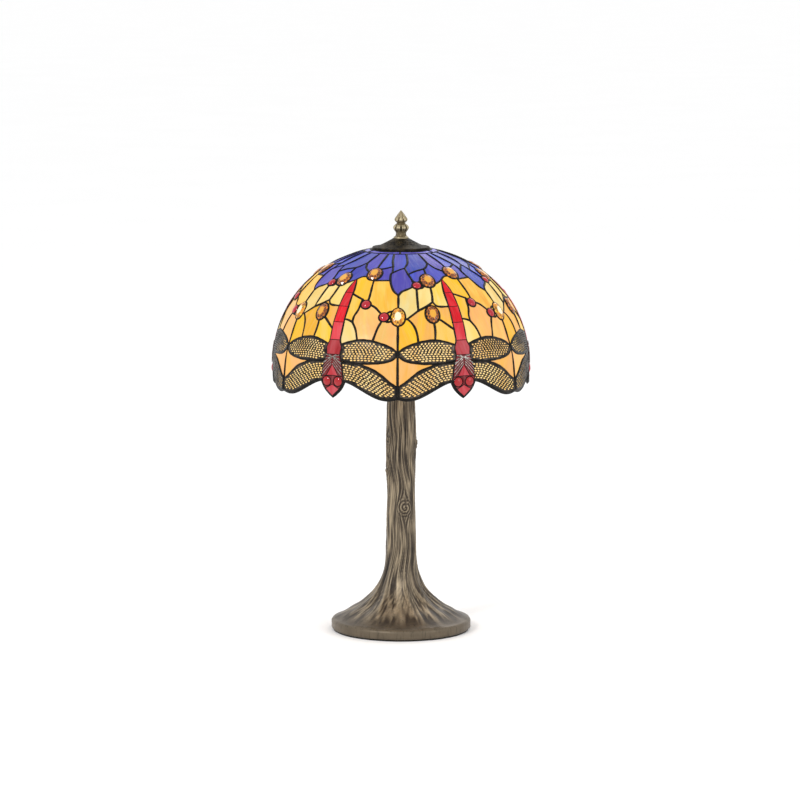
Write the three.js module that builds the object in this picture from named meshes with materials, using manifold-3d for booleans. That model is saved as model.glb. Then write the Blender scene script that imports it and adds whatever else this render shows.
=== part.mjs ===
// Stained glass table lamp: a cast tree-trunk stand, a leaded dragonfly shade carried on a harp,
// an E27 lampholder with its bulb, and a finial that clamps the shade.
// Millimetres, +Z up. The origin is the centre of the felt pad's underside.
// The front is -Y, and the cable leaves the foot at the back, +Y.
import * as THREE from 'three';
import { mergeVertices } from 'three/addons/utils/BufferGeometryUtils.js';
import Module from 'manifold-3d';

const wasm = await Module();
wasm.setup();

// ---- driving dimensions ------------------------------------------------------------------------

const GAP = 0.3;                    // clearance kept between pieces that touch

const FELT = { r: 80, t: 1.5 };
const FOOT = { r: 82, rimTop: 10.5, recessR: 76, cavityR: 73, webZ: 19.3, webTop: 26 };
const COVER_T = 1.5;
const TRUNK = { top: 283, boreR: 10.5, capZ: 274, sides: 32 };
const CABLE = { z: 6.9, holeR: 4.6, boreR: 3.6, sleeve: 6, flangeR: 5, flangeT: 1.7 };
const ROD = { r: 5, boreR: 3.6, z0: 8, z1: 294 };
const NUT = { r: 9.5, t: 6, washerR: 13, washerT: 2 };
const COLLAR = { r: 13, t: 2.7 };
const SADDLE = { halfLength: 31, halfWidth: 6, t: 1.7, postX: 27, postR: 2.2, postTop: 300 };
const HARP = { wireR: 2, sides: 6, sleeveR: 4, sleeveTop: 303, widestX: 52, topZ: 443, plateR: 9,
  plateT: 4 };
const STUD = { r: 3, z0: 436.5, headR: 5, z1: 475.5 };
const WASHER = { r: 10, t: 1 };

const HOLDER = { r: 20, wall: 1.7, capH: 11.7, bodyH: 36, shellR: 13.6, shellT: 0.6, shellH: 24 };
const BULB = { z0: 311.6, capR: 13.2, capTop: 338, glassR: 30, glassZ: 381, topZ: 411, wall: 1,
  capWall: 0.6, contactR: 4.5, contactT: 1.8, insulatorT: 3.4 };

const SECTORS = 6;
const SECTOR = 360 / SECTORS;       // degrees
const FIRST_RIB = -91.5;            // azimuth of the front rib, degrees
const DOME = { a: 147.8, b: 135.3, springZ: 316, squareness: 0.96, arc: 145, skirt: 0.96 };
const RIB = { peak: 5, fadeTop: 40, fadeLength: 60 };   // how far the skirt stands out at a rib
const GLASS_T = 2.6;
const CROWN_TOP = 195;              // height along the dome where the top opening starts
const RELIEF = { under: 1.8, wing: 3, body: 5 };        // offsets of the plates laid on the glass
const RIM_WIRE_R = 1.4;

const RING = { r: 34.2, innerR: 27, z0: 446.6, t: 3.4, hubR: 9, spokeW: 6, spokes: 3 };
const VENT = { z1: 462.2, r0: 9.5, r1: 33.5, t: 1, flare: 1.3, lipT: 1.6 };
const FINIAL = { z0: 462.5, z1: 495, socketR: 4.9, socketTop: 476.5 };
const INSERT = { r: 4.6, z0: 462.8, z1: 476.2 };

// Sector outlines, as [degrees from the rib, millimetres above the springing along the dome].
const RIM = [[0, -21.5], [4, -23.5], [8, -22], [12, -17.5], [17, -10.5], [21, -5.5], [25, -3.5],
  [27, -14], [30, -22.5], [33, -14], [35, -3.5], [39, -5.5], [43, -10.5], [48, -17.5], [52, -22],
  [56, -23.5], [60, -21.5]];
const CROWN_LINE = [[0, 104], [8.5, 117], [20, 120], [28, 127], [34, 132], [43, 126], [54.5, 128],
  [58.5, 112], [60, 104]];
const UPPER_WING = {
  low: [[0.6, 25.5], [3, 21], [8, 18], [14, 16.8], [20, 17], [27, 20]],
  high: [[0.6, 30.5], [3, 35], [7, 39.5], [12, 43], [17, 44], [22, 41.5], [27, 37]],
};
const LOWER_WING = {
  low: [[0.6, -21.5], [4, -23.5], [8, -22], [12, -17.5], [17, -10.5], [21, -5.5], [27, -2.5]],
  high: [[0.6, -9], [3, -5], [6, 1.5], [10, 8.5], [15, 13.5], [20, 17.3], [27, 20]],
};
// Half width of the dragonfly's body in degrees, by height along the dome.
const BODY_WIDTH = [[-22.5, 0.3], [-13, 3.2], [-5, 4.7], [0, 4.6], [12, 3.6], [25, 3.3], [33, 3.7],
  [42, 2.8], [65, 2.7], [86, 2.7], [106, 2.7], [118, 2.1], [126, 0.5]];

// ---- materials -----------------------------------------------------------------------------------

const FINISH = {
  castBronze: [0x7a6a55, 0.55, 0.7],
  darkBronze: [0x3a3028, 0.45, 0.8],
  antiqueBrass: [0x9a7f4e, 0.4, 0.9],
  brass: [0xb8964a, 0.35, 1],
  steel: [0xa8abae, 0.35, 1],
  felt: [0x1c1c1c, 0.95, 0],
  rubber: [0x202020, 0.8, 0],
  porcelain: [0xf0ece2, 0.3, 0],
  blackPlastic: [0x1a1a1c, 0.4, 0],
  blueGlass: [0x4b4bb9, 0.2, 0],
  amberGlass: [0xf7bf4c, 0.2, 0],
  redGlass: [0xc81428, 0.15, 0],
  filigree: [0x4a4034, 0.5, 0.8],
  solder: [0x2a2622, 0.45, 0.8],
  opalGlass: [0xfbf3df, 0.35, 0],
  clearGlass: [0xdfe8ea, 0.1, 0],
};

// ---- geometry helpers ----------------------------------------------------------------------------

// Merges shared vertices, drops flat triangles and turns the faces outwards.
function closed(geometry) {
  const bare = new THREE.BufferGeometry();
  bare.setAttribute('position', geometry.getAttribute('position').clone());
  if (geometry.index) bare.setIndex(geometry.index.clone());
  const merged = mergeVertices(bare, 1e-4);
  const p = merged.getAttribute('position');
  const source = merged.index.array;
  const kept = [];
  let volume = 0;
  const [a, b, c] = [new THREE.Vector3(), new THREE.Vector3(), new THREE.Vector3()];
  for (let i = 0; i < source.length; i += 3) {
    const [i0, i1, i2] = [source[i], source[i + 1], source[i + 2]];
    if (i0 === i1 || i1 === i2 || i2 === i0) continue;
    kept.push([i0, i1, i2]);
    a.fromBufferAttribute(p, i0);
    b.fromBufferAttribute(p, i1);
    c.fromBufferAttribute(p, i2);
    volume += a.dot(b.cross(c));
  }
  merged.setIndex(kept.flatMap(([i, j, k]) => (volume > 0 ? [i, j, k] : [i, k, j])));
  return merged;
}

function toManifold(geometry) {
  const g = closed(geometry);
  return new wasm.Manifold(new wasm.Mesh({
    numProp: 3,
    vertProperties: new Float32Array(g.getAttribute('position').array),
    triVerts: new Uint32Array(g.index.array),
  }));
}

function fromManifold(manifold) {
  const mesh = manifold.getMesh();
  const g = new THREE.BufferGeometry();
  g.setAttribute('position', new THREE.BufferAttribute(new Float32Array(mesh.vertProperties), 3));
  g.setIndex(new THREE.BufferAttribute(new Uint32Array(mesh.triVerts), 1));
  return g;
}

const join = (...parts) => fromManifold(parts.map(toManifold).reduce((all, m) => all.add(m)));
const cut = (base, ...tools) => fromManifold(
  tools.map(toManifold).reduce((left, m) => left.subtract(m), toManifold(base)));

// Turns a profile of [radius, z] points about Z. It closes on itself or ends on the axis.
function lathe(profile, segments = 24) {
  const onAxis = profile[0][0] === 0 && profile[profile.length - 1][0] === 0;
  const loop = onAxis ? profile : [...profile, profile[0]];
  const points = loop.map(([r, z]) => new THREE.Vector2(r, z));
  return new THREE.LatheGeometry(points, segments).rotateX(Math.PI / 2);
}

const tube = (outer, inner, z0, z1, segments) => lathe(
  [[inner, z0], [outer, z0], [outer, z1], [inner, z1]], segments);
const disc = (r, z0, z1, segments) => lathe([[0, z0], [r, z0], [r, z1], [0, z1]], segments);
const box = (x, y, z, cx, cy, cz) => new THREE.BoxGeometry(x, y, z).translate(cx, cy, cz);

// A straight line through a table of [u, value] points.
function along(table, u) {
  let k = 1;
  while (k < table.length - 1 && table[k][0] < u) k += 1;
  const [[u0, v0], [u1, v1]] = [table[k - 1], table[k]];
  return THREE.MathUtils.mapLinear(THREE.MathUtils.clamp(u, u0, u1), u0, u1, v0, v1);
}

// A closed plate between two grids of points: place(i, j, side) with side 0 inside and 1 outside.
function plate(columns, rows, place) {
  const positions = [];
  const index = [];
  const at = (i, j, side) => (side * (columns + 1) + i) * (rows + 1) + j;
  for (let side = 0; side < 2; side += 1) {
    for (let i = 0; i <= columns; i += 1) {
      for (let j = 0; j <= rows; j += 1) positions.push(...place(i, j, side).toArray());
    }
  }
  const quad = (p, q, r, s) => index.push(p, q, r, p, r, s);
  for (let i = 0; i < columns; i += 1) {
    for (let j = 0; j < rows; j += 1) {
      quad(at(i, j, 1), at(i + 1, j, 1), at(i + 1, j + 1, 1), at(i, j + 1, 1));
      quad(at(i, j, 0), at(i, j + 1, 0), at(i + 1, j + 1, 0), at(i + 1, j, 0));
    }
  }
  for (let i = 0; i < columns; i += 1) {
    quad(at(i, 0, 0), at(i + 1, 0, 0), at(i + 1, 0, 1), at(i, 0, 1));
    quad(at(i, rows, 1), at(i + 1, rows, 1), at(i + 1, rows, 0), at(i, rows, 0));
  }
  for (let j = 0; j < rows; j += 1) {
    quad(at(0, j, 0), at(0, j, 1), at(0, j + 1, 1), at(0, j + 1, 0));
    quad(at(columns, j, 1), at(columns, j, 0), at(columns, j + 1, 0), at(columns, j + 1, 1));
  }
  const g = new THREE.BufferGeometry();
  g.setAttribute('position', new THREE.Float32BufferAttribute(positions, 3));
  g.setIndex(index);
  return g;
}

// ---- the dome ------------------------------------------------------------------------------------

// Radius and height of the glass's middle surface, at a height v measured along the dome.
function domeProfile(v) {
  const t = Math.max(v, 0) / DOME.arc;
  const r = DOME.a * Math.cos(t) ** DOME.squareness;
  const rise = v > 0 ? DOME.b * Math.sin(t) ** DOME.squareness : DOME.skirt * v;
  return new THREE.Vector2(r, DOME.springZ + rise);
}

// A point on the shade, phi degrees round from the sector's rib and offset outwards from the glass.
function domePoint(sector, phi, v, offset) {
  const here = domeProfile(v);
  const tangent = domeProfile(v + 0.5).sub(domeProfile(v - 0.5)).normalize();
  const nearRib = Math.abs(phi / SECTOR * 2 - 1) ** 1.5;
  const fade = THREE.MathUtils.clamp((RIB.fadeTop - v) / RIB.fadeLength, 0, 1);
  const r = here.x + tangent.y * offset + RIB.peak * nearRib * fade;
  const azimuth = THREE.MathUtils.degToRad(FIRST_RIB + SECTOR * sector + phi);
  return new THREE.Vector3(r * Math.cos(azimuth), r * Math.sin(azimuth), here.y - tangent.x * offset);
}

// A plate on the dome between two outlines, with a column at each of the given angles.
function band(sector, angles, low, high, rows, inside, outside) {
  return plate(angles.length - 1, rows, (i, j, side) => {
    const v = THREE.MathUtils.lerp(low(angles[i]), high(angles[i]), j / rows);
    return domePoint(sector, angles[i], v, side ? outside : inside);
  });
}

const SEAM = 0.06;                  // half the gap between two sectors, degrees
const sectorAngles = (table) => table.map(([phi]) => THREE.MathUtils.clamp(phi, SEAM, SECTOR - SEAM));

function fieldGlass(sector) {
  return band(sector, sectorAngles(RIM), (phi) => along(RIM, phi), (phi) => along(CROWN_LINE, phi),
    5, -GLASS_T / 2, GLASS_T / 2);
}

function crownGlass(sector) {
  return band(sector, sectorAngles(CROWN_LINE), (phi) => along(CROWN_LINE, phi) + 2 * GAP,
    () => CROWN_TOP, 3, -GLASS_T / 2, GLASS_T / 2);
}

// The dragonfly's body; extra widens it, in degrees, for the cut that clears the wings.
function bodyPlate(sector, extra, inside, outside) {
  const middle = SECTOR / 2;
  const columns = 2;
  return plate(columns, BODY_WIDTH.length - 1, (i, j, side) => {
    const [v, half] = BODY_WIDTH[j];
    const phi = middle + (half + extra) * (2 * i / columns - 1);
    return domePoint(sector, phi, v, side ? outside : inside);
  });
}

// One side's two wings, joined at the root. The right side mirrors the left.
function wings(sector, mirrored) {
  const one = ({ low, high }, angles) => plate(angles.length - 1, 1, (i, j, side) => {
    const phi = mirrored ? SECTOR - angles[i] : angles[i];
    const v = THREE.MathUtils.lerp(along(low, angles[i]), along(high, angles[i]), j);
    return domePoint(sector, phi, v, side ? RELIEF.wing : RELIEF.under);
  });
  const angles = UPPER_WING.high.map(([phi]) => phi);
  const pair = join(one(UPPER_WING, angles), one(LOWER_WING, LOWER_WING.low.map(([phi]) => phi)));
  return cut(pair, bodyPlate(sector, 0.2, 0, RELIEF.body + 1));
}

// The wire follows the scalloped edge, just clear of the glass.
function rimWire() {
  const mmPerDegree = THREE.MathUtils.degToRad(DOME.a);
  const stand = RIM_WIRE_R + GLASS_T / 4;
  const centres = [];
  for (let sector = 0; sector < SECTORS; sector += 1) {
    for (let k = 0; k < RIM.length - 1; k += 1) {
      const before = k ? RIM[k - 1] : [RIM[RIM.length - 2][0] - SECTOR, RIM[RIM.length - 2][1]];
      const run = (RIM[k + 1][0] - before[0]) * mmPerDegree;
      const rise = RIM[k + 1][1] - before[1];
      const length = Math.hypot(run, rise);
      const phi = RIM[k][0] + rise / length * stand / mmPerDegree;
      centres.push(domePoint(sector, phi, RIM[k][1] - run / length * stand, 0));
    }
  }
  const sides = 5;
  const n = centres.length;
  const positions = [];
  const index = [];
  centres.forEach((centre, i) => {
    const ahead = centres[(i + 1) % n].clone().sub(centres[(i + n - 1) % n]).normalize();
    const out = new THREE.Vector3(centre.x, centre.y, 0).normalize();
    const across = new THREE.Vector3().crossVectors(ahead, out).normalize();
    const radial = new THREE.Vector3().crossVectors(across, ahead);
    for (let k = 0; k < sides; k += 1) {
      const angle = 2 * Math.PI * k / sides;
      const spoke = radial.clone().multiplyScalar(Math.cos(angle))
        .addScaledVector(across, Math.sin(angle));
      positions.push(...centre.clone().addScaledVector(spoke, RIM_WIRE_R).toArray());
      const [a, b] = [i * sides + k, i * sides + (k + 1) % sides];
      const [c, d] = [((i + 1) % n) * sides + k, ((i + 1) % n) * sides + (k + 1) % sides];
      index.push(a, b, d, a, d, c);
    }
  });
  const g = new THREE.BufferGeometry();
  g.setAttribute('position', new THREE.Float32BufferAttribute(positions, 3));
  g.setIndex(index);
  return g;
}

// ---- the stand -----------------------------------------------------------------------------------

// [z, radius] up the outside, from the foot's lower edge to the trunk's top.
const TRUNK_PROFILE = [[FELT.t + GAP, 81], [3, FOOT.r], [FOOT.rimTop, FOOT.r], [12.6, 80.6],
  [13.4, 78.6], [15.5, 73.5], [19.5, 66], [24.4, 57.8], [30, 47.5], [38.6, 37], [47, 29.8],
  [56, 24.8], [68, 20.8], [80, 18.7], [98, 17.7], [127, 17.3], [135, 17], [142, 16.9], [149, 16.8],
  [168, 16.6], [181, 16.7], [188, 16.8], [195, 17], [212, 17.2], [221, 17.3], [230, 17.1],
  [252, 16.5], [TRUNK.top, 15.6]];
// Knots, as [azimuth in degrees, z, height of the bump].
const KNOTS = [[-73.5, 142, 2], [180, 188, 2], [0, 221, 2.6]];
const KNOT_SPREAD = 7;
const ROOTS = { count: 9, height: 0.055, z0: 13.4, peakZ: 42, z1: 95 };

function trunkRadius(azimuth, z, r) {
  const { MathUtils } = THREE;
  const rising = MathUtils.smoothstep(z, ROOTS.z0, ROOTS.peakZ);
  const up = rising * (1 - MathUtils.smoothstep(z, ROOTS.peakZ, ROOTS.z1));
  const bark = z > ROOTS.z0 ? 0.018 * Math.cos(6 * azimuth + z / 40) : 0;
  let radius = r * (1 + ROOTS.height * up * Math.cos(ROOTS.count * azimuth) + bark);
  KNOTS.forEach(([degrees, knotZ, bump]) => {
    const turn = Math.abs(MathUtils.euclideanModulo(
      azimuth - MathUtils.degToRad(degrees) + Math.PI, 2 * Math.PI) - Math.PI);
    const distance = Math.hypot(turn * r, z - knotZ);
    radius += bump * Math.exp(-((distance / KNOT_SPREAD) ** 2));
  });
  return radius;
}

function trunkCasting() {
  const { sides } = TRUNK;
  const positions = [0, 0, TRUNK_PROFILE[0][0], 0, 0, TRUNK.top];
  const index = [];
  TRUNK_PROFILE.forEach(([z, r]) => {
    for (let k = 0; k < sides; k += 1) {
      const azimuth = 2 * Math.PI * k / sides;
      const radius = trunkRadius(azimuth, z, r);
      positions.push(radius * Math.cos(azimuth), radius * Math.sin(azimuth), z);
    }
  });
  const at = (row, k) => 2 + row * sides + k % sides;
  const last = TRUNK_PROFILE.length - 1;
  for (let k = 0; k < sides; k += 1) {
    index.push(0, at(0, k + 1), at(0, k), 1, at(last, k), at(last, k + 1));
    for (let row = 0; row < last; row += 1) {
      index.push(at(row, k), at(row, k + 1), at(row + 1, k + 1));
      index.push(at(row, k), at(row + 1, k + 1), at(row + 1, k));
    }
  }
  const outside = new THREE.BufferGeometry();
  outside.setAttribute('position', new THREE.Float32BufferAttribute(positions, 3));
  outside.setIndex(index);
  const rodHole = ROD.r + GAP;
  const cavity = lathe([[0, 0], [FOOT.recessR, 0], [FOOT.recessR, FELT.t + GAP + COVER_T + GAP],
    [FOOT.cavityR, FELT.t + GAP + COVER_T + GAP], [FOOT.cavityR, 9], [60, 14], [42, FOOT.webZ],
    [rodHole, FOOT.webZ], [rodHole, FOOT.webTop], [TRUNK.boreR, FOOT.webTop], [TRUNK.boreR, TRUNK.capZ],
    [rodHole, TRUNK.capZ], [rodHole, TRUNK.top + 1], [0, TRUNK.top + 1]], TRUNK.sides);
  const cableHole = new THREE.CylinderGeometry(CABLE.holeR, CABLE.holeR, 30, 16)
    .translate(0, FOOT.r, CABLE.z);
  return cut(outside, cavity, cableHole);
}

function cableBush() {
  const { sleeve, flangeR, flangeT, boreR } = CABLE;
  const sleeveR = CABLE.holeR - GAP;
  const profile = [[boreR, 0], [sleeveR, 0], [sleeveR, sleeve], [flangeR, sleeve],
    [flangeR, sleeve + flangeT], [boreR, sleeve + flangeT]];
  return lathe(profile, 16).rotateX(-Math.PI / 2).translate(0, FOOT.r + GAP - sleeve, CABLE.z);
}

function rodNut() {
  const top = FOOT.webZ - 2 * GAP - NUT.washerT;
  return cut(disc(NUT.r, top - NUT.t, top, 6), disc(ROD.r + GAP, top - NUT.t - 1, top + 1, 16));
}

const COLLAR_TOP = TRUNK.top + GAP + COLLAR.t;
const SADDLE_Z = COLLAR_TOP + GAP;
const SADDLE_TOP = SADDLE_Z + SADDLE.t;

function harpSaddle() {
  const posts = [-1, 1].map((side) => disc(SADDLE.postR, SADDLE_Z, SADDLE.postTop, 12)
    .translate(side * SADDLE.postX, 0, 0));
  const bar = box(2 * SADDLE.halfLength, 2 * SADDLE.halfWidth, SADDLE.t, 0, 0, SADDLE_Z + SADDLE.t / 2);
  return cut(join(bar, ...posts), disc(ROD.r + GAP, SADDLE_Z - 1, SADDLE_TOP + 1, 16));
}

function harp() {
  const half = [[SADDLE.postX, HARP.sleeveTop - 4], [SADDLE.postX + 1.5, HARP.sleeveTop + 4],
    [44, 328], [HARP.widestX, 362], [HARP.widestX - 2, 396], [38, 425], [20, 439], [6, HARP.topZ]];
  const points = [...half.map(([x, z]) => new THREE.Vector3(x, 0, z)),
    ...half.slice().reverse().map(([x, z]) => new THREE.Vector3(-x, 0, z))];
  const circle = new THREE.EllipseCurve(0, 0, HARP.wireR, HARP.wireR).getPoints(HARP.sides);
  const section = new THREE.Shape(circle.slice(0, HARP.sides));
  const wire = new THREE.ExtrudeGeometry(section,
    { steps: 32, bevelEnabled: false, extrudePath: new THREE.CatmullRomCurve3(points) });
  const sleeves = [-1, 1].map((side) => disc(HARP.sleeveR, SADDLE_TOP + GAP, HARP.sleeveTop, 12)
    .translate(side * SADDLE.postX, 0, 0));
  const bores = [-1, 1].map((side) => disc(SADDLE.postR + GAP, SADDLE_TOP, SADDLE.postTop + GAP, 12)
    .translate(side * SADDLE.postX, 0, 0));
  const top = disc(HARP.plateR, HARP.topZ - HARP.plateT / 2, HARP.topZ + HARP.plateT / 2, 20);
  const studHole = disc(STUD.r + GAP, HARP.topZ - 5, HARP.topZ + 5, 16);
  return cut(join(wire, ...sleeves, top), ...bores, studHole);
}

function finialStud() {
  const headTop = HARP.topZ - HARP.plateT / 2 - GAP;
  return lathe([[0, STUD.z0], [STUD.headR, STUD.z0], [STUD.headR, headTop], [STUD.r, headTop],
    [STUD.r, STUD.z1 - 1], [STUD.r - 1, STUD.z1], [0, STUD.z1]], 16);
}

// ---- the lampholder and the bulb -----------------------------------------------------------------

const HOLDER_Z = SADDLE_TOP + GAP;
const BODY_Z = HOLDER_Z + HOLDER.capH + GAP;
const INSULATOR = { z0: BODY_Z + 2, z1: BODY_Z + 8.7 };

function lampholderCap() {
  const top = HOLDER_Z + HOLDER.capH;
  const hole = ROD.r + GAP;
  return lathe([[hole, HOLDER_Z], [12, HOLDER_Z], [17, HOLDER_Z + 3], [HOLDER.r, HOLDER_Z + 8],
    [HOLDER.r, top], [HOLDER.r - HOLDER.wall, top], [HOLDER.r - HOLDER.wall, HOLDER_Z + 8.6],
    [15.8, HOLDER_Z + 4.4], [11.5, HOLDER_Z + HOLDER.wall], [hole, HOLDER_Z + HOLDER.wall]]);
}

function lampholderInsulator() {
  const r = HOLDER.r - HOLDER.wall - GAP;
  return tube(r, 2, INSULATOR.z0, INSULATOR.z1, 24);
}

// [radius, z] from the neck inside the screw cap up to the widest part.
const BULB_NECK = BULB.capR - BULB.capWall - GAP;
const BULB_SHOULDER = [[BULB_NECK, 321], [BULB_NECK, BULB.capTop + 0.5], [14.5, 344], [21, 355],
  [26.5, 365], [BULB.glassR, BULB.glassZ]];

function bulbGlass() {
  const outside = BULB_SHOULDER;
  const arcs = [25, 50, 72].map((degrees) => {
    const t = THREE.MathUtils.degToRad(degrees);
    return [BULB.glassR * Math.cos(t), BULB.glassZ + BULB.glassR * Math.sin(t)];
  });
  const crown = (z) => Math.max(z - BULB.glassZ, 0) / BULB.glassR;
  const wallIn = ([r, z]) => [r - BULB.wall, z - BULB.wall * crown(z)];
  const outer = [...outside, ...arcs, [0, BULB.topZ]];
  const inner = [[0, BULB.topZ - BULB.wall], ...[...outside, ...arcs].reverse().map(wallIn)];
  const points = [...outer, ...inner, outer[0]].map(([r, z]) => new THREE.Vector2(r, z));
  return new THREE.LatheGeometry(points, 20).rotateX(Math.PI / 2);
}

// [radius, z] of the glass foot, its stalk and the button that held the filament.
const BULB_STEM = [[0, 322], [9, 322], [8, 325], [4, 330], [3, 350], [1.6, 352], [1.6, 378], [4, 380],
  [4, 381], [0, 382]];

// ---- the shade's top and the finial --------------------------------------------------------------

function crownRing() {
  const top = RING.z0 + RING.t;
  const parts = [tube(RING.r, RING.innerR, RING.z0, top, 48), disc(RING.hubR, RING.z0, top, 24)];
  for (let k = 0; k < RING.spokes; k += 1) {
    const length = RING.innerR - RING.hubR + 6;
    parts.push(box(length, RING.spokeW, RING.t, (RING.innerR + RING.hubR) / 2, 0, RING.z0 + RING.t / 2)
      .rotateZ(2 * Math.PI * k / RING.spokes));
  }
  return cut(join(...parts), disc(STUD.r + 2 * GAP, RING.z0 - 1, top + 1, 16));
}

// The cap flares from a narrow neck to a wide rim, steep at the top and flat at the edge.
function ventCap() {
  const z0 = RING.z0 + RING.t + GAP;
  const steps = 5;
  const flare = [];
  for (let k = 0; k <= steps; k += 1) {
    const s = k / steps;
    const rise = (VENT.z1 - z0 - VENT.t) * s ** VENT.flare;
    flare.push([THREE.MathUtils.lerp(VENT.r1, VENT.r0, s), z0 + VENT.t + rise]);
  }
  const hole = STUD.r + 2 * GAP;
  const under = flare.slice(0, -1).map(([r, z]) => [r - VENT.t, z - VENT.t]).reverse();
  const lip = VENT.z1 - VENT.lipT;
  return lathe([[VENT.r1 - VENT.t, z0], [VENT.r1, z0], ...flare, [hole, VENT.z1], [hole, lip],
    [VENT.r0 - VENT.t, lip], ...under.slice(0, -1)], 24);
}

// [radius, z] of two tiers of leaves over a flange, with a pointed tip.
const FINIAL_OUTLINE = [[8.8, FINIAL.z0], [8.8, 463.8], [6.4, 465.2], [5.9, 468.2], [7.4, 471],
  [9, 474.3], [8, 477.2], [5.1, 479.8], [6.6, 482], [7.2, 484.2], [5.6, 487.6], [3, 491.2], [1.4, 493.5]];

function finial() {
  const body = lathe([[0, FINIAL.z0], ...FINIAL_OUTLINE, [0, FINIAL.z1]], 20);
  return cut(body, disc(FINIAL.socketR, FINIAL.z0 - 1, FINIAL.socketTop, 20));
}

// ---- assembly ------------------------------------------------------------------------------------

const lamp = new THREE.Group();

function add(name, finish, geometry) {
  const [color, roughness, metalness] = FINISH[finish];
  const material = new THREE.MeshStandardMaterial({ color, roughness, metalness });
  const g = closed(geometry);
  g.computeVertexNormals();
  const mesh = new THREE.Mesh(g, material);
  mesh.name = name;
  lamp.add(mesh);
}

add('trunk_casting', 'castBronze', trunkCasting());
add('bottom_cover', 'steel', disc(FOOT.recessR - GAP, FELT.t + GAP, FELT.t + GAP + COVER_T,
  TRUNK.sides));
add('felt_pad', 'felt', disc(FELT.r, 0, FELT.t, 40));
add('cable_bush', 'rubber', cableBush());
add('lamp_rod', 'steel', tube(ROD.r, ROD.boreR, ROD.z0, ROD.z1, 16));
add('rod_washer', 'steel', tube(NUT.washerR, ROD.r + GAP, FOOT.webZ - GAP - NUT.washerT,
  FOOT.webZ - GAP, 20));
add('rod_nut', 'steel', rodNut());
add('trunk_collar', 'darkBronze', tube(COLLAR.r, ROD.r + GAP, TRUNK.top + GAP, COLLAR_TOP, 24));
add('harp_saddle', 'antiqueBrass', harpSaddle());
add('harp', 'antiqueBrass', harp());
add('finial_stud', 'brass', finialStud());
add('seat_washer', 'brass', tube(WASHER.r, STUD.r + GAP, HARP.topZ + HARP.plateT / 2 + GAP,
  HARP.topZ + HARP.plateT / 2 + GAP + WASHER.t, 20));

add('lampholder_cap', 'antiqueBrass', lampholderCap());
add('lampholder_body', 'antiqueBrass', tube(HOLDER.r, HOLDER.r - HOLDER.wall, BODY_Z,
  BODY_Z + HOLDER.bodyH));
add('lampholder_insulator', 'porcelain', lampholderInsulator());
add('screw_shell', 'brass', tube(HOLDER.shellR + HOLDER.shellT, HOLDER.shellR, INSULATOR.z1 + GAP,
  INSULATOR.z1 + GAP + HOLDER.shellH));
add('centre_contact', 'brass', disc(4, INSULATOR.z1 + GAP, BULB.z0 - GAP, 16));

add('crown_ring', 'darkBronze', crownRing());
add('vent_cap', 'darkBronze', ventCap());
add('rim_wire', 'solder', rimWire());
for (let sector = 0; sector < SECTORS; sector += 1) {
  const n = sector + 1;
  add(`crown_glass_${n}`, 'blueGlass', crownGlass(sector));
  add(`field_glass_${n}`, 'amberGlass', fieldGlass(sector));
  add(`wings_left_${n}`, 'filigree', wings(sector, false));
  add(`wings_right_${n}`, 'filigree', wings(sector, true));
  add(`dragonfly_${n}`, 'redGlass', bodyPlate(sector, 0, RELIEF.under, RELIEF.body));
}

const contactTop = BULB.z0 + BULB.contactT;
const insulatorTop = contactTop + GAP + BULB.insulatorT;
add('bulb_contact', 'steel', disc(BULB.contactR, BULB.z0, contactTop, 16));
add('bulb_insulator', 'blackPlastic', lathe([[0, contactTop + GAP], [6, contactTop + GAP],
  [BULB.capR - 0.8, insulatorTop], [0, insulatorTop]], 20));
add('bulb_screw_cap', 'steel', tube(BULB.capR, BULB.capR - BULB.capWall, insulatorTop + GAP,
  BULB.capTop, 24));
add('bulb_glass', 'opalGlass', bulbGlass());
add('bulb_stem', 'clearGlass', lathe(BULB_STEM, 12));

add('finial_insert', 'brass', tube(INSERT.r, STUD.r + GAP, INSERT.z0, INSERT.z1, 20));
add('finial', 'antiqueBrass', finial());

export default lamp;
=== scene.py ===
"""Looks for the stained glass table lamp: a leaded dragonfly shade on a cast tree-trunk stand.

Lengths in the tables are millimetres, and angles on the shade are degrees round from a sector's rib.
Everything is turned into metres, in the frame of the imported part, as it goes into a mesh.
"""

import math
import random

import bpy
import numpy as np
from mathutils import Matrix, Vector, noise
from mathutils.geometry import delaunay_2d_cdt


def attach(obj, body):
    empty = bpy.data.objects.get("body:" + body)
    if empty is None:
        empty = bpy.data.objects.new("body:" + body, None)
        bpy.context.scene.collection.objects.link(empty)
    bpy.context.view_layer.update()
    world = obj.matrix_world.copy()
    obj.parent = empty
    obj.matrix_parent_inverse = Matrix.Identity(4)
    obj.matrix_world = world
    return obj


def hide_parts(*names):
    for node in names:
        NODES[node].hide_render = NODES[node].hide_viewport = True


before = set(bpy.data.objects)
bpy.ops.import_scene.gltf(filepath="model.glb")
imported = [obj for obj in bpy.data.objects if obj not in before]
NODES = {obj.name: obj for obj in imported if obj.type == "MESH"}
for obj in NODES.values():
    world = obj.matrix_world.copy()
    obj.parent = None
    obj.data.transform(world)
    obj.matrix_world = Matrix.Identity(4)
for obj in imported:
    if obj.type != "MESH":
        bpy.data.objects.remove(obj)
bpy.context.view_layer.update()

MM = 0.001
rng = random.Random(11)

# ---- the shade's shape, as in the part ----------------------------------------------------------

SECTORS = 6
SECTOR = 360 / SECTORS
FIRST_RIB = -91.5
DOME_A, DOME_B, SPRING_Z, SQUARE, ARC, SKIRT = 147.8, 135.3, 316.0, 0.96, 145.0, 0.96
RIB_PEAK, RIB_FADE_TOP, RIB_FADE = 5.0, 40.0, 60.0
CROWN_TOP = 195.0
BAND_LOW = 187.0  # a narrow band of glass runs round the opening above this line
GLASS_HALF = 1.3
FLAT_SCALE = 2.3  # millimetres per degree used where the shade is laid out flat


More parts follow.
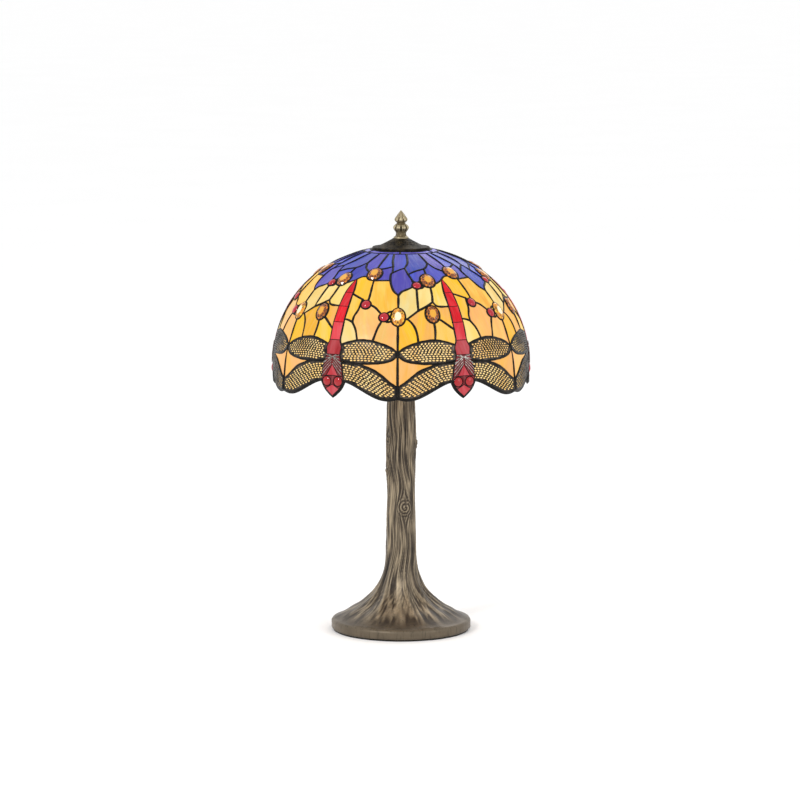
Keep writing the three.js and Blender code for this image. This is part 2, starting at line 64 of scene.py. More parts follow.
def profile(v):
    t = np.maximum(v, 0) / ARC
    r = DOME_A * np.cos(t) ** SQUARE
    rise = np.where(v > 0, DOME_B * np.sin(t) ** SQUARE, SKIRT * np.asarray(v, float))
    return r, SPRING_Z + rise


def dome(phi, v, offset=0.0, sector=0):
    """Points of the shade in metres, phi degrees from the sector's rib, v up along it, offset out of it."""
    phi, v, offset = np.broadcast_arrays(np.asarray(phi, float), v, offset)
    r, z = profile(v)
    (r1, z1), (r0, z0) = profile(v + 0.5), profile(v - 0.5)
    dr, dz = r1 - r0, z1 - z0
    length = np.hypot(dr, dz)
    near_rib = np.abs((phi % SECTOR) / SECTOR * 2 - 1) ** 1.5
    fade = np.clip((RIB_FADE_TOP - v) / RIB_FADE, 0, 1)
    r = r + dz / length * offset + RIB_PEAK * near_rib * fade
    z = z - dr / length * offset
    a = np.radians(FIRST_RIB + SECTOR * sector + phi)
    return np.stack([r * np.cos(a), r * np.sin(a), z], -1) * MM


def unit(rows):
    return rows / np.linalg.norm(rows, axis=1)[:, None]


def mm_per_degree(v):
    return float(profile(v)[0]) * math.pi / 180


def turned(points, sector):
    a = math.radians(SECTOR * sector)
    c, s = math.cos(a), math.sin(a)
    return np.asarray(points) @ np.array([[c, s, 0], [-s, c, 0], [0, 0, 1]])


# ---- the drawing of one sector ------------------------------------------------------------------

UPPER_WING = {
    "low": [(0.6, 25.5), (3, 21), (8, 18), (14, 16.8), (20, 17), (28, 20.5)],
    "high": [(0.6, 30.5), (3, 35), (7, 39.5), (12, 43), (17, 44), (22, 41.5), (28, 36)],
}
LOWER_WING = {
    "low": [(0.6, -21.5), (4, -23.5), (8, -22), (12, -17.5), (17, -10.5), (21, -5.5), (28, -2)],
    "high": [(0.6, -9), (3, -5), (6, 1.5), (10, 8.5), (15, 13.5), (20, 16.2), (28, 16)],
}
BODY_SIDE = [(30, 127.5), (28.7, 120), (27.6, 107), (27.3, 86), (27.3, 57), (27.4, 43), (26.5, 37),
             (26.2, 33), (26.6, 26), (25.9, 19), (25.2, 11), (24.9, 4), (24.6, -1.5), (25, -7),
             (26.6, -14), (30, -22.5)]
# Lines inside the body: across the tail and the thorax, then the lattice and the head.
INNER_LINES = [[(26, v), (34, v)] for v in (43, 65, 86, 106)] + [
    [(25, 25.5), (35, 25.5)],
    [(24, 0.8), (30, 1.6), (36, 0.8)],
    [(26.9, 1), (30, 14.5)],
    [(33.1, 1), (30, 14.5)],
    [(30, 1.4), (30, -8.6)],
    [(30, -8.6), (26.3, -14.3)],
    [(30, -8.6), (33.7, -14.3)],
]
RIB_LOW, RIB_HIGH = -21.5, 104

# Field lines. Each runs a little way into what it ends on, and what sticks in is cut off.
FIELD_LINES = [
    [(2, 69.5), (4.5, 71), (7.5, 63), (9, 52), (9.4, 38)],
    [(4.5, 71), (7.2, 76.2), (10.4, 82.3)],
    [(10.4, 82.3), (14.2, 87), (18.8, 93.5)],
    [(10.4, 82.3), (10.6, 98), (11, 117)],
    [(18.8, 93.5), (19.6, 105), (20, 122)],
    [(18.8, 93.5), (21.3, 87.5), (28.5, 86.3)],
    [(18.9, 72), (21.6, 68.3), (28.5, 54)],
    [(17.6, 69), (17.8, 56), (17, 41)],
    [(31.5, 69.5), (34.5, 68.8), (37.2, 66.3)],
    [(37.2, 66.3), (39.7, 56), (41.4, 41)],
    [(37.2, 66.3), (37.5, 74), (39, 83), (39.8, 97)],
    [(31, 106), (39.8, 97), (42, 92)],
    [(43, 92), (43.4, 103), (43, 128)],
    [(43.5, 91.5), (47.6, 86.8), (50, 81.5), (52.5, 75)],
    [(53, 75), (55.7, 80.8), (59, 81)],
    [(53, 72), (51.4, 65), (50, 57), (48.2, 41)],
    [(53, 72), (54.6, 67.3), (58.4, 69.5)],
    [(-1.5, 28), (1.5, 28)],
    [(-1.5, -15.2), (1.5, -15.2)],
]
CROWN_LINES = [
    [(0, 104), (2.2, 110), (8.5, 117), (9.2, 127), (6.8, 139), (4.5, 151)],
    [(0, 104), (-3.2, 112), (-5.6, 126), (-6.1, 139), (-5, 142)],
    [(8.5, 117), (10, 114.5), (12, 118)],
    [(12, 118), (14, 114.8), (18, 121)],
    [(9.2, 127), (12, 124), (15, 128)],
    [(22, 121), (25, 121.8), (30, 127.5)],
    [(30, 127.5), (31.5, 130.5), (34, 133), (40, 134)],
    [(42, 131), (43.5, 127), (48, 127.2), (54.4, 127.6)],
    [(4.5, 151), (0, 147.5), (-5, 142)],
    [(6.8, 139), (13, 145), (20.7, 149)],
    [(20.7, 149), (20.3, 141), (20, 132)],
    [(20.7, 149), (24, 153.5), (27.5, 161)],
    [(27.5, 161), (31, 150), (37.5, 141)],
    [(41, 145), (41.5, 152), (42, 165), (42.5, 188.5)],
    [(41.5, 151.5), (45.5, 149), (54.6, 154.5)],
    [(55, 142), (54.6, 154.5), (52.6, 170), (51, 188.5)],
    [(44, 143), (45.5, 149)],
    [(4.5, 151), (8, 165), (9.5, 188.5)],
    [(27.5, 161), (28, 188.5)],
    [(0, 185), (0, 197)],
]

# Jewels: name, degrees, height, half width and half height in millimetres.
JEWELS = [
    ("oval_rib", 0, 74, 8.2, 11.6), ("oval_mid", 17.5, 77, 8.0, 11.2),
    ("oval_left", 19.5, 127, 8.6, 11.4), ("oval_right", 41.5, 139, 8.6, 11.4),
    ("bead", 53, 73.5, 5.6, 5.6), ("bead", 42.5, 90, 5.6, 5.6), ("bead", 11.5, 119, 5.2, 5.2),
    ("eye", 27.15, -5, 5.7, 5.7), ("eye", 32.85, -5, 5.7, 5.7),
]


def catmull(points, step=2.2):
    """A smooth line through points, sampled about every step."""
    p = [np.array(q, float) for q in points]
    n = len(p)
    if n == 2:
        count = max(1, round(float(np.linalg.norm(p[1] - p[0])) / step))
        return [p[0] + (p[1] - p[0]) * k / count for k in range(count + 1)]
    out = []
    for i in range(n - 1):
        p1, p2 = p[i], p[i + 1]
        p0 = p[i - 1] if i else 2 * p1 - p2
        p3 = p[i + 2] if i + 2 < n else 2 * p2 - p1
        count = max(1, round(float(np.linalg.norm(p2 - p1)) / step))
        for k in range(count):
            t = k / count
            out.append(0.5 * (2 * p1 + (p2 - p0) * t + (2 * p0 - 5 * p1 + 4 * p2 - p3) * t * t
                              + (3 * p1 - p0 - 3 * p2 + p3) * t ** 3))
    out.append(p[-1])
    return out


def flat(points):
    return [(phi * FLAT_SCALE, v) for phi, v in points]


def mirror(points):
    return [(SECTOR - phi, v) for phi, v in points]


def oval(phi, v, rx, ry, count=28):
    scale = FLAT_SCALE / mm_per_degree(v)
    return [np.array((phi * FLAT_SCALE + rx * scale * math.cos(2 * math.pi * k / count),
                      v + ry * math.sin(2 * math.pi * k / count))) for k in range(count)]


def wing_loop(wing, mirrored):
    side = mirror if mirrored else list
    high, low = catmull(flat(side(wing["high"]))), catmull(flat(side(wing["low"])))
    return high + low[::-1]


def drawing():
    """The sector's lines in the flat layout, as (group, points, closed)."""
    lines = [("rib", catmull(flat([(0, RIB_LOW), (0, RIB_HIGH)])), False)]
    for points in FIELD_LINES + CROWN_LINES:
        lines.append(("field", catmull(flat(points)), False))
    lines.append(("field", catmull(flat([(-0.6, RIB_LOW), (0.6, RIB_LOW)])), False))
    lines.append(("band", catmull(flat([(0, BAND_LOW), (SECTOR, BAND_LOW)])), False))
    for mirrored in (False, True):
        for wing in (UPPER_WING, LOWER_WING):
            lines.append(("wing", wing_loop(wing, mirrored), True))
    left = catmull(flat(BODY_SIDE))
    right = catmull(flat(mirror(BODY_SIDE)))[::-1]
    lines.append(("body", left + right[1:-1], True))
    for points in INNER_LINES:
        lines.append(("inner", catmull(flat(points)), False))
    for name, phi, v, rx, ry in JEWELS:
        lines.append((name, oval(phi, v, rx, ry), True))
    return lines


def inside(polygon, points):
    """Which of the points lie in the polygon, both in the flat layout."""
    polygon, points = np.asarray(polygon), np.asarray(points)
    x, y = points[:, 0], points[:, 1]
    result = np.zeros(len(points), bool)
    a = polygon
    b = np.roll(polygon, -1, 0)
    for (x0, y0), (x1, y1) in zip(a, b):
        if y0 == y1:
            continue
        crosses = (y0 > y) != (y1 > y)
        result ^= crosses & (x < (x1 - x0) * (y - y0) / (y1 - y0) + x0)
    return result


def doubled_area(a, b, c):
    """Twice the area of a flat triangle, negative if it turns clockwise."""
    return (b[0] - a[0]) * (c[1] - a[1]) - (b[1] - a[1]) * (c[0] - a[0])


def turned_alike(points, faces, smallest):
    """The triangles that have some area, all turned anticlockwise."""
    kept = []
    for f in faces:
        area = doubled_area(*(points[i] for i in f))
        if abs(area) > smallest:
            kept.append(tuple(f) if area > 0 else tuple(f)[::-1])
    return kept


# Which shapes cover which lines: a line of the group on the left stops where it meets one on the right.
BLOCKED_BY = {
    "field": ("jewel", "body", "wing"),
    "rib": ("jewel",),
    "wing": ("jewel", "body"),
    "body": ("jewel",),
    "inner": ("jewel",),
    "jewel": (),
    "band": (),
    "edge": (),
}


def group_of(name):
    return "jewel" if name.startswith(("oval", "bead", "eye")) else name


class Layout:
    """One sector's drawing with its neighbours, cut into panes and lead lines."""

    LOW, HIGH = -22.0, 82.0  # degrees
    BOTTOM = -30.0           # below the rim
    OVERHANG = 0.5           # a pane centred this many degrees before a rib belongs after it
    SMALLEST_PANE = 3.0      # square millimetres of the layout
    GRID_LOW, PITCH, CLEAR = -24, 5.0, 1.7

    def __init__(self):
        points, edges, kinds, loops = [], [], [], []
        for shift in (-SECTOR, 0, SECTOR):
            for name, line, closed in drawing():
                line = [q + np.array((shift * FLAT_SCALE, 0)) for q in line]
                xs = [q[0] / FLAT_SCALE for q in line]
                if max(xs) < self.LOW or min(xs) > self.HIGH:
                    continue
                self._add(points, edges, kinds, name, line, closed)
                if closed:
                    loops.append((name, line))
        top_left, top_right = (self.LOW, CROWN_TOP), (self.HIGH, CROWN_TOP)
        low_left, low_right = (self.LOW, self.BOTTOM), (self.HIGH, self.BOTTOM)
        for ends in ((top_left, top_right), (top_right, low_right), (low_left, top_left)):
            self._add(points, edges, kinds, "edge", catmull(flat(ends)), False)
        self.loops = loops
        fixed = np.array(points)
        grid = self._grid(fixed)
        everything = [Vector(q) for q in np.vstack([fixed, grid])]
        verts, out_edges, faces, _, from_edges, _ = delaunay_2d_cdt(everything, edges, [], 0, 1e-4)
        self.points = np.array([tuple(q) for q in verts])
        self.kept = self._kept_edges(out_edges, from_edges, kinds)
        self._panes(faces)

    @staticmethod
    def _add(points, edges, kinds, name, line, closed):
        base = len(points)
        points.extend(tuple(q) for q in line)
        count = len(line)
        for i in range(count if closed else count - 1):
            edges.append((base + i, base + (i + 1) % count))
            kinds.append(name)

    def _grid(self, fixed):
        """Staggered points inside the panes, away from the lines, so that panes follow the curve."""
        rows = np.arange(self.GRID_LOW, CROWN_TOP, self.PITCH * 0.866)
        columns = np.arange(self.LOW * FLAT_SCALE, self.HIGH * FLAT_SCALE, self.PITCH)
        spots = [(x + (self.PITCH / 2 if k % 2 else 0), y) for k, y in enumerate(rows) for x in columns]
        kept = [p for p in spots if np.min(np.sum((fixed - p) ** 2, 1)) > self.CLEAR ** 2]
        return np.array(kept)

    def _kept_edges(self, out_edges, from_edges, kinds):
        """The lines that are lead: not covered by a shape on top, and without loose ends."""
        found = []
        for edge, sources in zip(out_edges, from_edges):
            if sources:
                found.append((tuple(edge), {kinds[s] for s in sources if s < len(kinds)}))
        middles = np.array([(self.points[a] + self.points[b]) / 2 for (a, b), _ in found])
        within = {group: np.zeros(len(found), bool) for group in ("jewel", "body", "wing")}
        for name, line in self.loops:
            within[group_of(name)] |= inside(line, middles)
        kept = {}
        for i, (edge, names) in enumerate(found):
            alive = {n for n in names if not any(within[w][i] for w in BLOCKED_BY[group_of(n)])}
            if group_of(next(iter(names))) == "inner" and not within["body"][i] and len(names) == 1:
                alive = set()
            if alive:
                kept[frozenset(edge)] = alive
        while True:
            degree = {}
            for edge in kept:
                for v in edge:
                    degree[v] = degree.get(v, 0) + 1
            loose = [e for e, names in kept.items() if "edge" not in names
                     and any(degree[v] == 1 for v in e)]
            if not loose:
                return kept
            for e in loose:
                del kept[e]

    def _panes(self, faces):
        """Gathers the triangles between lead lines into panes, and says which zone each lies in."""
        triangles = turned_alike(self.points, faces, 1e-6)
        by_edge = {}
        for i, f in enumerate(triangles):
            for k in range(3):
                by_edge.setdefault(frozenset((f[k], f[(k + 1) % 3])), []).append(i)
        label = [-1] * len(triangles)
        groups = []
        for start in range(len(triangles)):
            if label[start] >= 0:
                continue
            label[start] = len(groups)
            stack, members, outside = [start], [], False
            while stack:
                i = stack.pop()
                members.append(i)
                f = triangles[i]
                for k in range(3):
                    edge = frozenset((f[k], f[(k + 1) % 3]))
                    if edge in self.kept:
                        continue
                    if len(by_edge[edge]) == 1:
                        outside = True
                    for other in by_edge[edge]:
                        if label[other] < 0:
                            label[other] = len(groups)
                            stack.append(other)
            groups.append((members, outside))
        self.panes = []
        for members, outside in groups:
            if outside:
                continue
            corners = np.array([[self.points[v] for v in triangles[i]] for i in members])
            areas = doubled_area(corners[:, 0].T, corners[:, 1].T, corners[:, 2].T)
            centres = corners.mean(1)
            middle = (centres * areas[:, None]).sum(0) / areas.sum()
            phi = middle[0] / FLAT_SCALE
            if not -self.OVERHANG <= phi < SECTOR - self.OVERHANG or areas.sum() < self.SMALLEST_PANE * 2:
                continue
            self.panes.append({
                "triangles": [triangles[i] for i in members],
                "spot": centres[int(np.argmax(areas))],
                "corners": corners,
            })
        for pane in self.panes:
            zone = "field"
            for name, line in self.loops:
                if inside(line, [pane["spot"]])[0]:
                    kind = group_of(name)
                    if kind == "jewel" or zone == "field" or (kind == "body" and zone == "wing"):
                        zone = kind
            pane["zone"] = zone


layout = Layout()

# ---- colours --------------------------------------------------------------------------------------


def linear(rgb):
    return tuple(c / 12.92 if c <= 0.04045 else ((c + 0.055) / 1.055) ** 2.4
                 for c in (x / 255 for x in rgb))


BLUES = [((66, 66, 178), (92, 84, 190)), ((58, 62, 172), (84, 90, 200)),
         ((74, 68, 174), (96, 86, 186)), ((56, 78, 190), (86, 82, 180))]
ROYAL = ((4, 40, 156), (20, 56, 178))
AMBERS = [((255, 192, 26), (250, 206, 110)), ((255, 206, 66), (253, 228, 144)),
          ((250, 176, 56), (255, 208, 92)), ((255, 188, 44), (247, 176, 104))]
YELLOW = ((252, 196, 14), (255, 184, 60))
CREAM = ((248, 222, 150), (250, 204, 92))
PEACH = ((250, 198, 104), (248, 176, 108))
APRON = ((252, 188, 86), (250, 184, 116))
WING_GLASS = ((255, 222, 150), (255, 200, 112))
TAIL = ((214, 0, 24), (232, 14, 36))
TAIL_LOW = ((214, 40, 56), (226, 80, 88))
THORAX = ((168, 22, 32), (190, 76, 82))
LATTICE = ((104, 16, 22), (140, 40, 46))
HEAD = ((190, 40, 54), (210, 84, 92))
TONGUE = (0, 128)
SEEDS = {
    (3, 98): CREAM, (15, 103): CREAM, (36, 55): CREAM, (14, 60): AMBERS[3], (5, 45): YELLOW,
    (24, 75): AMBERS[1], (45, 65): PEACH, (55, 52): PEACH, (36, 115): YELLOW, (36, 85): AMBERS[0],
    (22, 52): AMBERS[0], (24, 108): AMBERS[1], (52, 105): AMBERS[2], (5, 4): APRON, (55, 4): APRON,
    (30, 8): HEAD, (30, -14): HEAD, TONGUE: BLUES[2], (48, 138): BLUES[2],
}
CROWN_LINE_V, CROWN_POINT_V = 119, 108   # the crown reaches lower at a rib
TAIL_V, TAIL_LOW_V, THORAX_V = 62, 43, 25.5
ROYAL_SECTORS = (1, 4)


def pane_tints(pane, sector):
    """The two tints that a pane's glass is streaked with."""
    points, phi, v = pane["corners"], pane["spot"][0] / FLAT_SCALE, pane["spot"][1]
    for (seed_phi, seed_v), tints in SEEDS.items():
        spot = np.array((seed_phi * FLAT_SCALE, seed_v))
        a, b, c = points[:, 0].T, points[:, 1].T, points[:, 2].T
        sides = [doubled_area(p, q, spot) >= 0 for p, q in ((a, b), (b, c), (c, a))]
        if np.any(np.logical_and.reduce(sides)):
            royal = (seed_phi, seed_v) == TONGUE and sector in ROYAL_SECTORS
            return ROYAL if royal else tints
    if pane["zone"] == "wing":
        return WING_GLASS
    if pane["zone"] == "body":
        if v > TAIL_V:
            return TAIL
        if v > TAIL_LOW_V:
            return TAIL_LOW
        return THORAX if v > THORAX_V else LATTICE
    blue = v > CROWN_LINE_V or (v > CROWN_POINT_V and abs(phi) < 3)
    table = BLUES if blue else AMBERS
    return table[int(abs(phi * 7 + v * 3)) % len(table)]


# ---- meshes ---------------------------------------------------------------------------------------


class Shape:
    """Gathers the vertices, faces and per-vertex values of one piece."""

    def __init__(self):
        self.verts, self.faces, self.smooth, self.values = [], [], [], {}

    def add(self, verts, faces, smooth=True, **values):
        base = sum(len(v) for v in self.verts)
        verts = np.asarray(verts, float)
        self.verts.append(verts)
        self.faces.extend(tuple(base + i for i in f) for f in faces)
        self.smooth.extend([smooth] * len(faces))
        for name, value in values.items():
            value = np.asarray(value, float)
            if value.ndim == 1:
                value = np.tile(value, (len(verts), 1))
            self.values.setdefault(name, []).append(value)
        return self

    def make(self, name, body, material, slot, replaces=(), crease=35):
        mesh = bpy.data.meshes.new(name)
        verts = np.vstack(self.verts)
        mesh.from_pydata([tuple(v) for v in verts], [], self.faces)
        for key, parts in self.values.items():
            data = np.vstack(parts)
            if key.startswith("tint"):
                layer = mesh.attributes.new(key, "FLOAT_COLOR", "POINT")
                data = np.hstack([data, np.ones((len(data), 1))])
                layer.data.foreach_set("color", data.astype(np.float32).ravel())
            else:
                layer = mesh.attributes.new(key, "FLOAT_VECTOR", "POINT")
                layer.data.foreach_set("vector", data.astype(np.float32).ravel())
        mesh.validate()
        mesh.polygons.foreach_set("use_smooth", self.smooth[:len(mesh.polygons)])
        if crease:
            mesh.set_sharp_from_angle(angle=math.radians(crease))
        mesh.materials.append(material)
        obj = bpy.data.objects.new(name, mesh)
        bpy.context.scene.collection.objects.link(obj)
        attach(obj, body)
        if replaces:
            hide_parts(*replaces)
        return obj


def slab_faces(triangles, count):
    """Faces of a closed slab whose first count vertices are its top and next count its bottom."""
    faces = list(triangles) + [tuple(count + i for i in reversed(f)) for f in triangles]
    directed = {(f[k], f[(k + 1) % 3]) for f in triangles for k in range(3)}
    for a, b in sorted(directed):
        if (b, a) not in directed:
            faces.append((b, a, count + a, count + b))
    return faces


def ring_faces(rings, sides, closed=True):
    """Faces that join each ring of points to the next, and the last ring to the first if closed."""
    faces = []
    for i in range(rings if closed else rings - 1):
        j = (i + 1) % rings
        for k in range(sides):
            m = (k + 1) % sides
            faces.append((i * sides + k, i * sides + m, j * sides + m, j * sides + k))
    return faces


FLAT_LIMIT = 0.35  # how far a flat pane may stand off the curve of the shade
PANE_INSET = 0.45  # how far a pane's edge lies inside its lead line


def pane_slab(pane, offset, flatten, crown):
    """The pane as a slab: vertices in sector 0, faces and the two flat coordinates of each vertex."""
    used = sorted({v for f in pane["triangles"] for v in f})
    index = {v: i for i, v in enumerate(used)}
    triangles = [tuple(index[v] for v in f) for f in pane["triangles"]]
    spots = layout.points[used].copy()
    directed = {(f[k], f[(k + 1) % 3]) for f in triangles for k in range(3)}
    push = np.zeros_like(spots)
    rim = np.zeros(len(spots), bool)
    for a, b in directed:
        if (b, a) in directed:
            continue
        d = spots[b] - spots[a]
        normal = np.array((-d[1], d[0])) / max(np.hypot(*d), 1e-9)
        push[[a, b]] += normal
        rim[[a, b]] = True
    length = np.hypot(push[:, 0], push[:, 1])
    push[rim] *= (PANE_INSET / np.maximum(length[rim], 0.6))[:, None]
    spots = spots + push
    phi, v = spots[:, 0] / FLAT_SCALE, spots[:, 1]
    middle = dome(phi, v)
    normals = unit(dome(phi, v, 1.0) - middle)
    facing = normals.mean(0)
    facing /= np.linalg.norm(facing)
    height = (middle - middle.mean(0)) @ facing
    shift = np.clip((height - np.median(height)) * flatten, -FLAT_LIMIT * MM, FLAT_LIMIT * MM)
    middle = middle - np.outer(shift, facing)
    bulge = np.zeros(len(spots))
    if crown:
        edge = spots[rim]
        gap = np.array([np.min(np.hypot(*(edge - s).T)) for s in spots])
        bulge = crown * (1 - np.exp(-gap / 2.5))
    top = middle + normals * ((GLASS_HALF + offset + bulge) * MM)[:, None]
    bottom = middle - normals * (GLASS_HALF - offset) * MM
    return np.vstack([top, bottom]), slab_faces(triangles, len(spots)), np.vstack([spots, spots])


def varied(rgb, amount):
    """A tint in linear light, shifted a little, so that no two panes are cut from the same spot."""
    lift = 1 + rng.uniform(-amount, amount)
    warm = rng.uniform(-amount, amount) * 0.4
    r, g, b = linear(rgb)
    return (min(1, r * lift * (1 + warm)), min(1, g * lift), min(1, b * lift * (1 - warm)))


def add_pane(shape, pane, sector, tints, offset=0.0, crown=0.0, amount=0.12, flatten=0.6):
    verts, faces, spots = pane_slab(pane, offset, flatten, crown)
    seed = rng.uniform(0, 900)
    lean = rng.uniform(-0.35, 0.35)
    x, y = spots[:, 0], spots[:, 1]
    grain = np.stack([x + y * lean, y, np.full(len(x), seed)], 1)
    shape.add(turned(verts, sector), faces, grain=grain,
              tint=varied(tints[0], amount), tint2=varied(tints[1], amount))


# ---- materials ------------------------------------------------------------------------------------


class Look:
    """A Principled material with short helpers for its nodes."""

    def __init__(self, name, **settings):
        self.material = bpy.data.materials.new(name)
        self.material.use_nodes = True
        self.tree = self.material.node_tree
        self.shader = self.tree.nodes["Principled BSDF"]
        for key, value in settings.items():
            socket = self.shader.inputs[key.replace("_", " ")]
            socket.default_value = (*value, 1) if isinstance(value, tuple) and len(value) == 3 else value

    def node(self, kind, **settings):
        made = self.tree.nodes.new(kind)
        for key, value in settings.items():
            setattr(made, key, value)
        return made

    def link(self, source, target):
        self.tree.links.new(source, target)
        return self

    def attribute(self, name):
        return self.node("ShaderNodeAttribute", attribute_name=name)

    def position(self):
        return self.node("ShaderNodeTexCoord").outputs["Object"]

    def scaled(self, vector, scale):
        m = self.node("ShaderNodeMapping")
        m.inputs["Scale"].default_value = scale
        self.link(vector, m.inputs["Vector"])
        return m.outputs["Vector"]

    def noise(self, vector, scale, detail=3.0, rough=0.55, distort=0.0):
        n = self.node("ShaderNodeTexNoise")
        values = {"Scale": scale, "Detail": detail, "Roughness": rough, "Distortion": distort}
        for key, value in values.items():
            n.inputs[key].default_value = value
        self.link(vector, n.inputs["Vector"])
        return n.outputs["Fac"]

    def ramp(self, value, low, high, start=0.0, end=1.0):
        m = self.node("ShaderNodeMapRange")
        m.inputs["From Min"].default_value, m.inputs["From Max"].default_value = low, high
        m.inputs["To Min"].default_value, m.inputs["To Max"].default_value = start, end
        self.link(value, m.inputs["Value"])
        return m.outputs["Result"]

    def mix(self, factor, a, b, blend="MIX"):
        m = self.node("ShaderNodeMix", data_type="RGBA", blend_type=blend)
        for socket, value in ((m.inputs["Factor"], factor), (m.inputs[6], a), (m.inputs[7], b)):
            if isinstance(value, (tuple, float, int)):
                socket.default_value = (*value, 1) if isinstance(value, tuple) else value
            else:
                self.link(value, socket)
        return m.outputs[2]

    def bump(self, height, strength, distance=0.001):
        b = self.node("ShaderNodeBump")
        b.inputs["Strength"].default_value = strength
        b.inputs["Distance"].default_value = distance
        self.link(height, b.inputs["Height"])
        self.link(b.outputs["Normal"], self.shader.inputs["Normal"])
        return self

    def put(self, name, source):
        self.link(source, self.shader.inputs[name])
        return self


def glass_look(name, glow, body_share, streak=0.8):
    """Opalescent sheet glass: streaks run up the shade and the light behind it shows as a glow."""
    look = Look(name, Roughness=0.3, Specular_IOR_Level=0.18, Emission_Strength=glow)
    grain = look.attribute("grain").outputs["Vector"]
    wide = look.noise(look.scaled(grain, (0.07, 0.014, 1.0)), 1.0, 3.0, 0.5, 0.6)
    fine = look.noise(look.scaled(grain, (0.38, 0.04, 1.0)), 1.0, 2.0, 0.5, 0.3)
    cloud = look.noise(look.scaled(grain, (0.05, 0.05, 1.0)), 1.0, 2.0, 0.5, 0.8)
    tint, tint2 = look.attribute("tint").outputs["Color"], look.attribute("tint2").outputs["Color"]
    colour = look.mix(look.ramp(wide, 0.34, 0.64, 0.0, streak), tint, tint2)
    colour = look.mix(look.ramp(cloud, 0.3, 0.72, 0.0, 0.35), colour,
                      look.mix(1.0, colour, (0.88, 0.84, 0.84), "MULTIPLY"))
    colour = look.mix(look.ramp(fine, 0.45, 0.75, 0.0, 0.22), colour, look.mix(0.2, tint2, (1.0, 1.0, 1.0)))
    base = look.mix(1.0, colour, (body_share,) * 3, "MULTIPLY")
    look.put("Base Color", base).put("Emission Color", colour)
    ripple = look.noise(look.scaled(grain, (0.09, 0.05, 1.0)), 1.0, 2.0, 0.5, 0.4)
    look.bump(ripple, 0.25, 0.002)
    return look.material


def metal_look(name, dark, light, metallic, roughness, scale, bump, wear=(0.42, 0.66),
               specular=0.5):
    """Cast or drawn metal with a blotched patina; rougher where it is darker."""
    look = Look(name, Metallic=metallic, Specular_IOR_Level=specular)
    where = look.position()
    blotch = look.noise(where, scale, 4.0, 0.6)
    grit = look.noise(where, scale * 9, 2.0, 0.5)
    amount = look.ramp(blotch, wear[0], wear[1])
    look.put("Base Color", look.mix(amount, linear(dark), linear(light)))
    look.put("Roughness", look.ramp(blotch, 0.3, 0.7, roughness + 0.12, roughness - 0.06))
    look.bump(grit, bump, 0.0004)
    return look.material


def jewel_look(name, glow, share):
    """Clear cut or domed glass, with a swirl of a deeper tint in it, and an emission that is a painted glow
    of the bulb's light through it.
    """
    look = Look(name, Roughness=0.05, Specular_IOR_Level=0.35, Coat_Weight=0.35, Coat_Roughness=0.03,
                Emission_Strength=glow)
    tint, grain = look.attribute("tint").outputs["Color"], look.attribute("grain").outputs["Vector"]
    swirl = look.noise(grain, 0.35, 3.0, 0.6, 1.2)
    colour = look.mix(look.ramp(swirl, 0.35, 0.7, 0.0, 0.3), tint,
                      look.mix(1.0, tint, (0.72, 0.6, 0.6), "MULTIPLY"))
    look.put("Base Color", look.mix(1.0, colour, (share,) * 3, "MULTIPLY"))
    look.put("Emission Color", colour)
    return look.material


def relief_look(name, base, other, groove, ridge, metallic, roughness):
    """A casting whose relief shows: dark in the grooves, rubbed light on the ridges, and lighter where the
    relief carries the foot's painted sheen.
    """
    look = Look(name, Metallic=metallic, Specular_IOR_Level=0.4)
    relief = look.node("ShaderNodeSeparateXYZ")
    look.link(look.attribute("relief").outputs["Vector"], relief.inputs["Vector"])
    where = look.position()
    blotch = look.noise(where, 55.0, 4.0, 0.6)
    grit = look.noise(where, 900.0, 3.0, 0.6)
    long_grain = look.noise(look.scaled(where, (1.0, 1.0, 0.12)), 420.0, 3.0, 0.6)
    colour = look.mix(look.ramp(blotch, 0.35, 0.65), linear(base), linear(other))
    colour = look.mix(look.ramp(relief.outputs["X"], 0.5, 0.1, 0.0, 0.92), colour, linear(groove))
    colour = look.mix(look.ramp(relief.outputs["X"], 0.55, 0.95, 0.0, 0.92), colour, linear(ridge))
    colour = look.mix(look.ramp(long_grain, 0.52, 0.72, 0.0, 0.45), colour, linear(groove))
    look.put("Base Color", colour)
    look.put("Roughness", look.ramp(blotch, 0.3, 0.7, roughness + 0.08, roughness - 0.06))
    look.bump(look.mix(0.5, grit, long_grain), 0.25, 0.0006)
    return look.material


